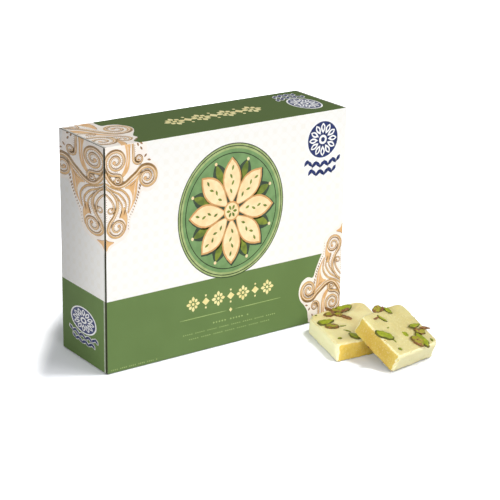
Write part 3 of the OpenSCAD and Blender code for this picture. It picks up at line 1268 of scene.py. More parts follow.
@dataclass
class SmallRows(Motif):
    """The rules and the fine dotted rows below the front's garland."""

    rules: tuple[Point, ...] = ((-33.3, -2.0), (3.8, 35.8))
    rule_height: float = 20.6
    rows: tuple[tuple[float, float, float, float], ...] = (
        (-10.6, 12.7, 15.2, 0.6), (-30.7, 33.0, 11.6, 0.42), (-26.7, 29.0, 8.5, 0.42),
    )
    foot_start: Point = (-77.2, 1.9)
    foot_count: int = 26
    foot_pitch: float = 1.15

    def trace(self) -> None:
        """Draws the rules, the rows, which leave out every sixth mark, and the dots at the foot."""
        for first, last in self.rules:
            rule = smooth_path(((first, self.rule_height), (last, self.rule_height)), 4.0)
            self.pen.line(Ink.RULE, rule, 0.42, 1)
        self.pen.fill(Ink.PALE, ((0.9, 19.4), (2.0, 20.7), (0.9, 22.0), (-0.2, 20.7)), 1)
        for first, last, height, size in self.rows:
            count = round((last - first) / (size * 3.2))
            for index in range(count + 1):
                if index % 6 != 5:
                    self.pen.diamond(Ink.RULE, (first + (last - first) * index / count, height), size, size)
        left, height = self.foot_start
        for index in range(self.foot_count):
            if index % 5 != 4:
                self.pen.fill(Ink.RULE, ring((left + self.foot_pitch * index, height), 0.36, 0.36, 6), 1)


@dataclass
class RuledField(Motif):
    """The bare ruled field on the back."""

    half: float = 34.0
    low: float = 62.0
    pitch: float = 6.0
    lines: int = 9
    uprights: tuple[float, ...] = (-34.0, 6.0, 34.0)
    reach: Point = (61.8, 110.2)

    def trace(self) -> None:
        """Draws the lines along and then those up."""
        for index in range(self.lines):
            z = self.low + self.pitch * index
            self.pen.line(Ink.GOLD, smooth_path(((-self.half, z), (self.half, z)), self.pitch), 0.4, 1)
        foot, head = self.reach
        for x in self.uprights:
            self.pen.line(Ink.GOLD, smooth_path(((x, foot), (x, head)), self.pitch), 0.4, 1)


@dataclass
class Carton:
    """The printed carton: its board, its closures and its print."""

    wide: float = 160.0
    deep: float = 48.0
    tall: float = 127.0
    bend: float = 0.7
    side_gap: float = 0.3
    crease: float = 0.45
    tab_crease: float = 22.5
    margin: float = 0.05
    inset: float = 1.35
    hinge_gap: float = 0.4
    band_top: float = 41.8
    end_stretch: float = 1.72
    low_share: float = 0.93
    low_rise: float = 1.4
    white: Colour = shade(248, 247, 243)
    front_green: Colour = shade(108, 132, 80)
    top_green: Colour = shade(77, 98, 43)

    def dress(self, nodes: dict[str, bpy.types.Object]) -> None:
        """Gives the carton's own pieces their board.

        Args:
            nodes: The frame's pieces.
        """
        standing = (self.band_top, self.bend, self.tall - self.bend)
        covered = (self.tall + 1, -1.0, self.tall + 2)
        tilt = math.sqrt(0.5)
        sides = (
            ("front_panel", Side.FRONT, self.front_green, standing, 0.0),
            ("back_panel", Side.BACK, self.front_green, standing, 0.0),
            ("top_panel", Side.TOP, self.top_green, covered, 0.0),
            ("bottom_panel", Side.BASE, self.front_green, covered, 0.0),
            ("left_closure", Side.LEFT, self.front_green, standing, 0.0),
            ("right_closure", Side.RIGHT, self.front_green, standing, 0.0),
            ("left_tuck_tab", Side.LEFT, self.front_green, standing, tilt),
            ("right_tuck_tab", Side.RIGHT, self.front_green, standing, tilt),
        )
        for name, side, green, limits, slant in sides:
            way = (side.value[0] * slant, -slant, 0.0)
            wear_material(nodes[name], PrintFinish(side, self.white, green, *limits, way).material())
        plain = BoardFinish("plain_board", shade(226, 223, 215), shade(206, 202, 192)).material()
        flaps = [f"{hand}_{level}_dust_flap" for hand in ("left", "right") for level in ("upper", "lower")]
        for name in ("glue_flap", *flaps):
            wear_material(nodes[name], plain)
        LOG.info("carton board: %d sides", len(sides))

    def sheets(self) -> dict[Side, Sheet]:
        """Lays out the flat sheets that the print is drawn on.

        Returns:
            One sheet for each printed side but the base.
        """
        half = self.wide / 2
        reach = self.deep / 2
        turn = self.tall - self.bend
        arc = self.bend * math.pi / 2
        middle = turn + arc / 2
        folds = (turn, turn + arc / 4, turn + arc / 2, turn + arc * 3 / 4, turn + arc)

        def front(x: float, g: float, lift: float) -> Spot:
            """Folds the front's sheet over the top edge.

            Args:
                x: The place along the carton.
                g: The way up the front, round the edge and in along the top.
                lift: How far the ink stands off the board.

            Returns:
                The place on the carton.
            """
            if g <= turn:
                return (x, -reach - lift, g)
            if g <= turn + arc:
                angle = (g - turn) / self.bend
                radius = self.bend + lift
                return (x, -reach + self.bend - radius * math.cos(angle), turn + radius * math.sin(angle))
            return (x, -reach + self.bend + g - turn - arc, self.tall + lift)

        def back(x: float, g: float, lift: float) -> Spot:
            """Folds the back's sheet, which reads from behind, over the top edge."""
            spot = front(x, g, lift)
            return (-spot[0], -spot[1], spot[2])

        def left(u: float, z: float, lift: float) -> Spot:
            """Places the left end's sheet, drawn away from the front edge."""
            return (-half - lift, u - reach, z)

        def right(u: float, z: float, lift: float) -> Spot:
            """Places the right end's sheet, drawn away from the front edge."""
            return (half + lift, u - reach, z)

        edge = half - self.side_gap - self.margin
        inner = half - self.inset
        start = reach - self.tab_crease + 0.03
        far = turn + arc + self.deep - 2 * self.bend
        white = "printed_white_board"
        green = "printed_green_board"
        ends = ((start, self.side_gap), (self.deep - self.crease - self.hinge_gap, self.tall - self.side_gap))
        low = self.bend
        return {
            Side.FRONT: Sheet("front_print", "carton", white, front, (-edge, low), (edge, middle), folds),
            Side.TOP: Sheet("top_print", "carton", green, front, (-inner, middle), (inner, far), folds),
            Side.BACK: Sheet("back_print", "carton", white, back, (-inner, low), (inner, turn)),
            Side.LEFT: Sheet("left_end_print", "left_closure_panel", white, left, *ends),
            Side.RIGHT: Sheet("right_end_print", "right_closure_panel", white, right, *ends),
        }

    def decorate(self, inks: dict[Ink, bpy.types.Material]) -> None:
        """Draws the whole print and folds it round the carton.

        Args:
            inks: Each ink's material.
        """
        sheets = self.sheets()
        half = self.wide / 2
        low = self.low_rise
        roof = self.tall - self.bend + self.bend * math.pi / 2 - self.bend
        corner, flower, heading = CornerScroll(), Rosette(8.4), Garland(59.0, 9.0)
        drawings: tuple[tuple[Side, Motif, Point, Point], ...] = (
            (Side.FRONT, corner, (-half, self.tall), (1, -1)),
            (Side.FRONT, corner, (half, low), (-self.low_share, 1)),
            (Side.FRONT, Medallion(), (0.5, 79.0), (1, 1)),
            (Side.FRONT, heading, (0.8, 29.1), (1, 1)),
            (Side.FRONT, SmallRows(), (0, 0), (1, 1)),
            (Side.FRONT, Rosette(10.6), (63.0, 110.6), (1, 1)),
            (Side.TOP, LidScroll(), (-half, roof), (1, 1)),
            (Side.TOP, Garland(60.0, 13.4), (5.2, roof + 25.1), (-1, -1)),
            (Side.TOP, Rosette(8.6), (64.6, roof + 20.0), (-0.95, -1.35)),
            (Side.LEFT, corner, (0, self.tall), (self.end_stretch, -1)),
            (Side.RIGHT, corner, (0, low), (self.end_stretch, 1)),
            (Side.LEFT, flower, (24.6, 23.4), (1.5, 0.82)),
            (Side.RIGHT, flower, (24.6, 96.0), (1.5, 0.82)),
            (Side.BACK, corner, (-half, low), (1, 1)),
            (Side.BACK, corner, (half, self.tall), (-1, -1)),
            (Side.BACK, heading, (0, 29.1), (1, 1)),
            (Side.BACK, RuledField(), (0, 0), (1, 1)),
        )
        for side, motif, origin, stretch in drawings:
            motif.draw(Pen(sheets[side], origin, stretch))
        for sheet in sheets.values():
            sheet.build(inks)


def wear_material(piece: bpy.types.Object, material: bpy.types.Material) -> None:
    """Puts one material on all of a piece.

    Args:
        piece: The piece.
        material: Its new material.
    """
    if not piece.data.materials:
        piece.data.materials.append(material)
    for slot in piece.material_slots:
        slot.material = material


@dataclass
class Tray:
    """The board tray and the greaseproof sheets inside the carton."""

    sheets: tuple[str, ...] = ("liner_sheet", "rear_separator_sheet", "front_separator_sheet", "cover_sheet")

    def dress(self, nodes: dict[str, bpy.types.Object]) -> None:
        """Gives the tray and the sheets their materials.

        Args:
            nodes: The frame's pieces.
        """
        board = BoardFinish("tray_board", shade(238, 236, 229), shade(218, 214, 204), 0.7).material()
        wear_material(nodes["tray"], board)
        paper = PaperFinish().material()
        for name in self.sheets:
            wear_material(nodes[name], paper)
        LOG.info("tray and %d sheets", len(self.sheets))


def smooth_skin(mesh: bpy.types.Mesh, material: bpy.types.Material) -> None:
    """Gives a mesh its material and smooth shading."""
    mesh.materials.append(material)
    mesh.polygons.foreach_set("use_smooth", [True] * len(mesh.polygons))


def bridge(group: bmesh.types.BMesh, row: Row, following: Row) -> None:
    """Joins two closed rows of corners with four-sided faces.

    Args:
        group: The mesh that holds them.
        row: The first row.
        following: The second row, with as many corners.
    """
    for here in range(len(row)):
        there = (here + 1) % len(row)
        group.faces.new((row[here], row[there], following[there], following[here]))


def eased(share: float) -> float:
    """Goes smoothly from 0 to 1 while the share does, and stays there past its ends."""
    share = min(1.0, max(0.0, share))
    return share * share * (3 - 2 * share)


@dataclass
class Carver:
    """Carves soft crumbly sweets out of flat slabs."""

    voxel: float
    rounds: int
    crumb: float
    wave: float
    seed: float
    foot: float = 0.8
    shoulder: float = 4.5
    softness: float = 0.5
    bluntness: float = 0.28
    same_way: float = 0.95
    swells: tuple[Point, ...] = ((0.11, 1.0), (0.27, 0.4))
    fine_pitch: float = 0.9
    fine_share: float = 0.28
    bite_pitch: float = 0.42
    bite_start: float = 0.05
    bite_share: float = 2.2
    bite_shift: Spot = (9, 2, 5)

    def carve(
        self, slab: bpy.types.Mesh, name: str, material: bpy.types.Material, axes: Matrix | None = None
    ) -> bpy.types.Object:
        """Softens a slab's edges and roughens its skin.

        Args:
            slab: The sharp slab, which is used up.
            name: The new piece's name.
            material: Its material.
            axes: The slab's own axes, where its foot keeps its sharp edges.

        Returns:
            The carved piece, in the slab's place.
        """
        ways = self._ways(slab)
        rough = link(name, slab)
        remesh = rough.modifiers.new("even", "REMESH")
        remesh.mode = "VOXEL"
        remesh.voxel_size = self.voxel * MM
        self._settle(rough)
        if axes:
            own = axes.inverted()
            group = rough.vertex_groups.new(name="top")
            for vertex in rough.data.vertices:
                height = (own @ vertex.co).z / MM
                group.add([vertex.index], eased((height - self.foot) / self.shoulder), "REPLACE")
        soften = rough.modifiers.new("soften", "SMOOTH")
        soften.factor = self.softness
        soften.iterations = self.rounds
        soften.vertex_group = "top" if axes else ""
        self._settle(rough)
        rough.vertex_groups.clear()
        mesh = rough.data
        self._roughen(mesh, ways)
        mesh.materials.clear()
        smooth_skin(mesh, material)
        mesh.polygons.foreach_set("material_index", [0] * len(mesh.polygons))
        mesh.update()
        return rough

    @staticmethod
    def _settle(piece: bpy.types.Object) -> None:
        """Turns what a piece's modifiers show into its mesh.

        Args:
            piece: The piece, which loses its modifiers.
        """
        graph = bpy.context.evaluated_depsgraph_get()
        mesh = bpy.data.meshes.new_from_object(piece.evaluated_get(graph))
        piece.modifiers.clear()
        piece.data = mesh

    def _ways(self, mesh: bpy.types.Mesh) -> list[Vector]:
        """Lists the directions that a slab's large faces look in.

        Args:
            mesh: The slab.

        Returns:
            Up to six directions, that of the largest face first.
        """
        ways: list[Vector] = []
        for face in sorted(mesh.polygons, key=lambda f: -f.area):
            if all(face.normal.dot(way) < self.same_way for way in ways):
                ways.append(face.normal.copy())
            if len(ways) == 6:
                break
        return ways

    def _roughen(self, mesh: bpy.types.Mesh, ways: list[Vector]) -> None:
        """Moves each point a little along its normal.

        Args:
            mesh: The mesh to change.
            ways: The slab's flat directions, away from which its edges lie.
        """
        spots = [vertex.co.copy() for vertex in mesh.vertices]
        sides = [vertex.normal.copy() for vertex in mesh.vertices]
        shift = Vector((self.seed, self.seed * 0.7, 3.1))
        floor = min(spot.z for spot in spots)
        rim = mesh.attributes.new(RIM_MASK, "FLOAT", "POINT")
        for vertex, spot, side in zip(mesh.vertices, spots, sides):
            corner = eased((1 - max(side.dot(way) for way in ways)) / self.bluntness)
            at = spot / MM + shift
            slow = sum(share * noise.noise(at * pitch) for pitch, share in self.swells)
            fine = noise.noise(at * self.fine_pitch)
            bite = max(0.0, noise.noise(at * self.bite_pitch + Vector(self.bite_shift)) - self.bite_start)
            depth = self.wave * slow + self.crumb * self.fine_share * fine
            depth -= corner * self.crumb * (0.1 + self.bite_share * bite + 0.5 * abs(fine))
            vertex.co = spot + side * depth * MM
            vertex.co.z = max(vertex.co.z, floor)
            rim.data[vertex.index].value = corner


class NutKind(Enum):
    """The cuts of pistachio: length, width and height are shares of its size."""

    HALF = (1.0, 0.46, 0.15)
    CHUNK = (1.0, 0.66, 0.2)
    SLIVER = (1.0, 0.26, 0.12)
    SKIN = (1.0, 0.28, 0.14)
    SPECK = (1.0, 0.7, 0.26)


@dataclass(frozen=True)
class Nut:
    """One piece of pistachio on a sweet."""

    kind: NutKind
    u: float
    v: float
    size: float
    turn: float
    tilt: float = 0.0
    rise: float = 0.0


@dataclass
class LoosePiece:
    """A sweet that lies outside the carton, with its nuts."""

    name: str
    slab: str
    nuts_node: str
    corner: Spot
    turn: float
    lean: float
    thick: float
    outline: Loop
    radii: tuple[float, ...]
    nuts: tuple[Nut, ...]
    finish: BarfiFinish
    seed: int
    nut_rings: tuple[Spot, ...] = (
        (0.3, 1.0, 0.0), (0.58, 0.94, 0.0), (0.78, 0.84, 0.15), (0.9, 0.7, 0.6), (0.98, 0.5, 1.0),
        (1.0, 0.3, 1.0), (0.96, 0.0, 1.0), (0.8, -0.25, 1.0), (0.4, -0.3, 1.0),
    )
    around: int = 30
    corner_steps: int = 8
    ragged: float = 0.3
    swelling: float = 0.3
    crumb_bumps: float = 0.3
    crumbs: int = 60
    crumb_sizes: tuple[float, float] = (0.25, 0.62)
    edge_mark: float = 0.6
    low_edge: float = 1.6

    def frame(self) -> Matrix:
        """Gives the sweet's own axes.

        Returns:
            The axes, with the origin at its near left corner.
        """
        return (
            Matrix.Translation(Vector(self.corner) * MM)
            @ Matrix.Rotation(math.radians(self.turn), 4, "Z")
            @ Matrix.Rotation(math.radians(self.lean), 4, "X")
        )

    def build(self, carver: Carver, nut_materials: dict[NutKind, bpy.types.Material]) -> None:
        """Carves the sweet and strews its nuts.

        Args:
            carver: What carves the sweet.
            nut_materials: The material of each cut of nut.
        """
        sweet = carver.carve(self._block(), f"{self.name}_sweet", self.finish.material(), self.frame())
        carry(sweet, self.name, self.slab)
        draw = random.Random(self.seed)
        pale, brown = self._strew_crumbs(sweet, draw)
        self._finish_piece(pale, "crumbs", sweet.data.materials[0])
        self._finish_piece(brown, "skin_crumbs", nut_materials[NutKind.SKIN])
        faces = [tuple(face.vertices) for face in sweet.data.polygons]
        tree = BVHTree.FromPolygons([vertex.co for vertex in sweet.data.vertices], faces)
        groups: dict[bpy.types.Material, bmesh.types.BMesh] = {}
        for nut in self.nuts:
            group = groups.setdefault(nut_materials[nut.kind], bmesh.new())
            self._add_nut(group, nut, self._top_at(tree, nut), draw)
        for index, (material, group) in enumerate(groups.items()):
            replaced = "" if index else self.nuts_node
            self._finish_piece(group, f"nuts_{index + 1}", material, replaced)
        LOG.info("%s: %d nuts in %d groups", self.name, len(self.nuts), len(groups))

    def _block(self) -> bpy.types.Mesh:
        """Makes the sharp slab with its rounded corners.

        Returns:
            The slab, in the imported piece's place.
        """
        rim = []
        count = len(self.outline)
        for index, radius in enumerate(self.radii):
            spot = Vector(self.outline[index])
            back = (Vector(self.outline[index - 1]) - spot).normalized()
            ahead = (Vector(self.outline[(index + 1) % count]) - spot).normalized()
            half = back.angle(ahead) / 2
            centre = spot + (back + ahead).normalized() * radius / math.sin(half)
            first = spot + back * radius / math.tan(half) - centre
            sweep = math.pi - 2 * half
            for step in range(self.corner_steps + 1):
                turn = Matrix.Rotation(sweep * step / self.corner_steps, 2)
                rim.append(centre + turn @ first)
        group = bmesh.new()
        axes = self.frame()
        lower = [group.verts.new(axes @ (Vector((spot.x, spot.y, 0.0)) * MM)) for spot in rim]
        upper = [group.verts.new(axes @ (Vector((spot.x, spot.y, self.thick)) * MM)) for spot in rim]
        group.faces.new(list(reversed(lower)))
        group.faces.new(upper)
        bridge(group, lower, upper)
        mesh = bpy.data.meshes.new(f"{self.name}_block")
        group.normal_update()
        group.to_mesh(mesh)
        group.free()
        return mesh

    def _top_at(self, tree: BVHTree, nut: Nut) -> float:
        """Finds how high the carved top is under a nut.

        Args:
            tree: The carved sweet's faces.
            nut: The nut.

        Returns:
            The height in the sweet's own axes, in millimetres.
        """
        axes = self.frame()
        down = axes.to_3x3() @ Vector((0, 0, -1))
        hit = tree.ray_cast(axes @ (Vector((nut.u, nut.v, 2 * self.thick)) * MM), down)[0]
        return (axes.inverted() @ hit).z / MM if hit else self.thick

    def _finish_piece(
        self, group: bmesh.types.BMesh, part: str, material: bpy.types.Material, replaced: str = ""
    ) -> None:
        """Turns loose geometry into a piece that goes with the sweet.

        Args:
            group: The geometry, which is used up.
            part: What it is, for its name.
            material: Its material.
            replaced: The frame's piece that it stands for, if any.
        """
        bmesh.ops.recalc_face_normals(group, faces=group.faces)
        mesh = bpy.data.meshes.new(f"{self.name}_{part}")
        group.to_mesh(mesh)
        group.free()
        smooth_skin(mesh, material)
        carry(link(mesh.name, mesh), self.name, replaced)

    def _add_nut(self, group: bmesh.types.BMesh, nut: Nut, height: float, draw: random.Random) -> None:
        """Adds one nut as a closed lens with a level top and a sharp rim.

        Args:
            group: The mesh that takes it.
            nut: The nut.
            height: How high the sweet is under it.
            draw: Where its small unevenness comes from.
        """
        long, wide, high = (share * nut.size for share in nut.kind.value)
        place = (
            self.frame()
            @ Matrix.Translation(Vector((nut.u, nut.v, height + nut.rise)) * MM)
            @ Matrix.Rotation(math.radians(nut.turn), 4, "Z")
            @ Matrix.Rotation(math.radians(nut.tilt), 4, "X")
        )
        curl = draw.uniform(-0.1, 0.1)
        blunt = draw.uniform(0.75, 1.05)
        phase = draw.uniform(0, 40)
        rim = group.verts.layers.float.get(RIM_MASK) or group.verts.layers.float.new(RIM_MASK)
        rows: list[Row] = []
        for reach, lift, mark in self.nut_rings:
            row: Row = []
            for j in range(self.around):
                angle = math.tau * j / self.around
                along, across = math.cos(angle), math.sin(angle)
                ragged = 1 + self.ragged * noise.noise(Vector((1.7 * along, 1.7 * across, phase)))
                ragged += 0.5 * self.ragged * noise.noise(Vector((4.1 * along, 4.1 * across, phase)))
                side = math.copysign(abs(across) ** (1 / blunt), across) * ragged
                swell = noise.noise(Vector((2 * reach * along, 2 * reach * across, phase + 9)))
                spot = Vector((
                    long / 2 * reach * along * ragged,
                    wide / 2 * reach * side + curl * long * (1 - (reach * along) ** 2),
                    high * lift * (1 + self.swelling * swell),
                ))
                row.append(group.verts.new(place @ (spot * MM)))
                row[-1][rim] = mark
            rows.append(row)
        for row, following in zip(rows, rows[1:]):
            bridge(group, row, following)
        for row, (_, lift, mark) in ((rows[0], self.nut_rings[0]), (rows[-1], self.nut_rings[-1])):
            tip = group.verts.new(place @ (Vector((0, curl * long, high * lift)) * MM))
            tip[rim] = mark
            for j in range(self.around):
                group.faces.new((tip, row[j], row[(j + 1) % self.around]))

    def _strew_crumbs(
        self, sweet: bpy.types.Object, draw: random.Random
    ) -> tuple[bmesh.types.BMesh, bmesh.types.BMesh]:
        """Makes the crumbs that cling to a sweet's edges.

        Args:
            sweet: The carved sweet.
            draw: Where they fall.

        Returns:
            The crumbs of the sweet and those of the nuts' skin.
        """
        pale, brown = bmesh.new(), bmesh.new()
        marks = sweet.data.attributes[RIM_MASK].data
        edges = [v for v, mark in zip(sweet.data.vertices, marks) if mark.value > self.edge_mark]
        low = [v for v in edges if (self.frame().inverted() @ v.co).z < self.low_edge * MM]
        for index in range(self.crumbs):
            spot = draw.choice(low if index % 3 else edges).co
            radius = draw.uniform(*self.crumb_sizes) * MM
            turn = Matrix.Rotation(draw.uniform(0, math.tau), 4, Vector((draw.random(), draw.random(), 1.0)))
            squash = Matrix.Diagonal((1.0, draw.uniform(0.6, 1.0), draw.uniform(0.5, 0.9), 1.0))
            centre = Vector((spot.x, spot.y, max(spot.z, radius)))
            group = brown if index % 5 == 1 else pale
            place = Matrix.Translation(centre) @ turn @ squash
            made = bmesh.ops.create_icosphere(group, subdivisions=2, radius=radius, matrix=place)
            for vertex in made["verts"]:
                away = vertex.co - centre
                vertex.co = centre + away * (1 + self.crumb_bumps * noise.noise(vertex.co / MM * 1.6))
        return pale, brown


@dataclass
class Sweets:
    """All the barfi, loose and packed."""

    packed_layers: tuple[str, ...] = ("barfi_back_layer", "barfi_middle_layer")
    front_pieces: int = 10
    thick: float = 10.5
    lean_thick: float = 12.0
    lean: float = 26.65

    def build(self, nodes: dict[str, bpy.types.Object]) -> None:
        """Builds every sweet.

        Args:
            nodes: The frame's pieces.
        """
        nuts = self._nut_materials()
        carver = Carver(0.5, 150, 0.6, 0.2, 2.0)
        for piece in (self._flat(), self._leaning()):
            piece.build(carver, nuts)
        self._packed(nodes, nuts)

    @staticmethod
    def _nut_materials() -> dict[NutKind, bpy.types.Material]:
        """Builds the materials of the nuts.

        Returns:
            The material of each cut.
        """
        finishes = (
            NutFinish("pistachio_flesh", shade(126, 138, 15), shade(154, 162, 31), shade(82, 80, 21), 0.0),
            NutFinish("pistachio_mixed", shade(142, 140, 27), shade(172, 163, 56), shade(94, 76, 29), 0.22),
            NutFinish("pistachio_skin", shade(150, 124, 58), shade(170, 146, 78), shade(92, 56, 32), 0.62),
        )
        flesh, streaked, husk = (finish.material() for finish in finishes)
        return {kind: flesh for kind in NutKind} | {NutKind.CHUNK: streaked, NutKind.SKIN: husk}

    def _flat(self) -> LoosePiece:
        """Describes the piece that lies flat.

        Returns:
            The piece, not yet built.
        """
        nuts = (
            Nut(NutKind.HALF, 32.0, 42.5, 11.5, 4, 14, 0.9),
            Nut(NutKind.CHUNK, 27.0, 41.2, 7.6, -62, 0, 0.2),
            Nut(NutKind.SKIN, 24.6, 45.4, 7.4, -78, 0, 0.2),
            Nut(NutKind.CHUNK, 20.2, 38.4, 7.2, -14, 0, 0.1),
            Nut(NutKind.CHUNK, 24.2, 35.4, 5.6, -70, 10, 0.3),
            Nut(NutKind.SKIN, 31.0, 38.6, 7.6, 20, -14, 1.0),
            Nut(NutKind.SKIN, 26.8, 30.6, 8.6, -72, 8, 0.2),
            Nut(NutKind.HALF, 11.4, 29.8, 10.8, -4, 12, 0.3),
            Nut(NutKind.CHUNK, 11.7, 22.8, 8.0, -26, 0, 0.2),
            Nut(NutKind.SKIN, 8.8, 24.4, 3.8, 60, 0, 0.6),
            Nut(NutKind.SLIVER, 17.6, 21.2, 3.8, -14, 0, 0.0),
            Nut(NutKind.HALF, 15.4, 4.8, 9.4, -84, 0, 0.0),
            Nut(NutKind.SPECK, 5.8, 6.4, 2.8, -10, 0, -0.1),
            Nut(NutKind.SPECK, 13.4, 42.2, 1.9, 30, 0, -0.1),
            Nut(NutKind.SLIVER, 15.6, 13.6, 5.0, -66, 0, -0.2),
            Nut(NutKind.SPECK, 33.4, 20.6, 1.6, 10, 0, -0.1),
        )
        turn = -4.5
        angle = math.radians(turn)
        cut_way = (math.sin(angle), -math.cos(angle), 0.0)
        outline = ((0.0, 0.0), (38.0, 0.0), (53.1, 52.5), (9.6, 45.0))
        return LoosePiece(
            "flat_piece", "loose_barfi_flat", "loose_flat_pistachios", (35.0, -78.4, 0.0), turn, 0.0,
            self.thick, outline, (0.8, 3.0, 6.0, 5.0), nuts, BarfiFinish("barfi_flat_piece", (cut_way,)), 11,
        )

    def _leaning(self) -> LoosePiece:
        """Describes the piece that leans on the flat one.

        Returns:
            The piece, not yet built.
        """
        nuts = (
            Nut(NutKind.CHUNK, 14.5, 33.4, 8.4, 4, 0, 0.3),
            Nut(NutKind.HALF, 18.7, 30.3, 5.8, -68, 16, 0.4),
            Nut(NutKind.SKIN, 15.7, 32.8, 5.4, 30, 0, 1.0),
            Nut(NutKind.SKIN, 7.8, 28.7, 4.8, 4, 0, 0.2),
            Nut(NutKind.SLIVER, 11.1, 26.8, 6.4, -66, 0, 0.1),
            Nut(NutKind.HALF, 2.6, 15.7, 11.0, -44, 6, 0.1),
            Nut(NutKind.SLIVER, 6.1, 11.2, 3.6, -80, 0, 0.0),
            Nut(NutKind.SPECK, 16.4, 12.5, 5.4, -80, 0, -1.1),
            Nut(NutKind.HALF, 25.4, 14.9, 7.6, -6, -10, 0.8),
            Nut(NutKind.SKIN, 30.6, 11.1, 6.6, -22, 0, 0.8),
            Nut(NutKind.CHUNK, 26.1, 10.5, 6.6, -30, 0, 0.3),
            Nut(NutKind.HALF, 22.6, 4.6, 10.6, -86, 12, 0.5),
            Nut(NutKind.CHUNK, 18.6, 5.3, 8.6, -74, 0, 0.2),
            Nut(NutKind.SPECK, 4.6, 4.6, 2.4, -40, 0, -0.1),
            Nut(NutKind.SPECK, 29.2, 3.0, 2.2, -80, 0, -0.1),
            Nut(NutKind.SPECK, 9.6, 20.1, 1.4, 10, 0, -0.1),
        )
        turn = 7.4
        angle = math.radians(turn)
        cut_way = (-math.cos(angle), -math.sin(angle), 0.0)
        # Painted shade: the leaning piece takes darker copies of all the flat piece's sweet colours.
        finish = BarfiFinish(
            "barfi_leaning_piece_shaded", (cut_way,), shade(214, 203, 142), shade(205, 191, 126),
            shade(244, 236, 184), shade(208, 181, 80), shade(196, 162, 62),
        )
        outline = ((0.0, 0.0), (34.0, 0.0), (34.0, 34.0), (0.0, 34.0))
        return LoosePiece(
            "leaning_piece", "loose_barfi_leaning", "loose_leaning_pistachios", (51.2, -105.8, 0.0), turn,
            self.lean, self.lean_thick, outline, (1.5, 3.0, 4.0, 2.5), nuts, finish, 23,
        )

    def _packed(self, nodes: dict[str, bpy.types.Object], nuts: dict[NutKind, bpy.types.Material]) -> None:
        """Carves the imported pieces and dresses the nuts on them.

        Args:
            nodes: The frame's pieces.
            nuts: The material of each cut of nut.
        """
        material = BarfiFinish("barfi_packed", ((-1.0, 0.0, 0.0), (0.0, 0.0, 1.0))).material()
        carver = Carver(1.1, 2, 0.3, 0.05, 7.0)
        names = [*self.packed_layers, *(f"barfi_front_{i + 1}" for i in range(self.front_pieces))]
        for name in names:
            sweet = carver.carve(nodes[name].data.copy(), f"packed_{name}", material)
            carry(sweet, "carton", name)
        for layer in ("back", "middle", "front"):
            wear_material(nodes[f"pistachios_{layer}_layer"], nuts[NutKind.CHUNK])
        LOG.info("packed sweets: %d nodes", len(names))


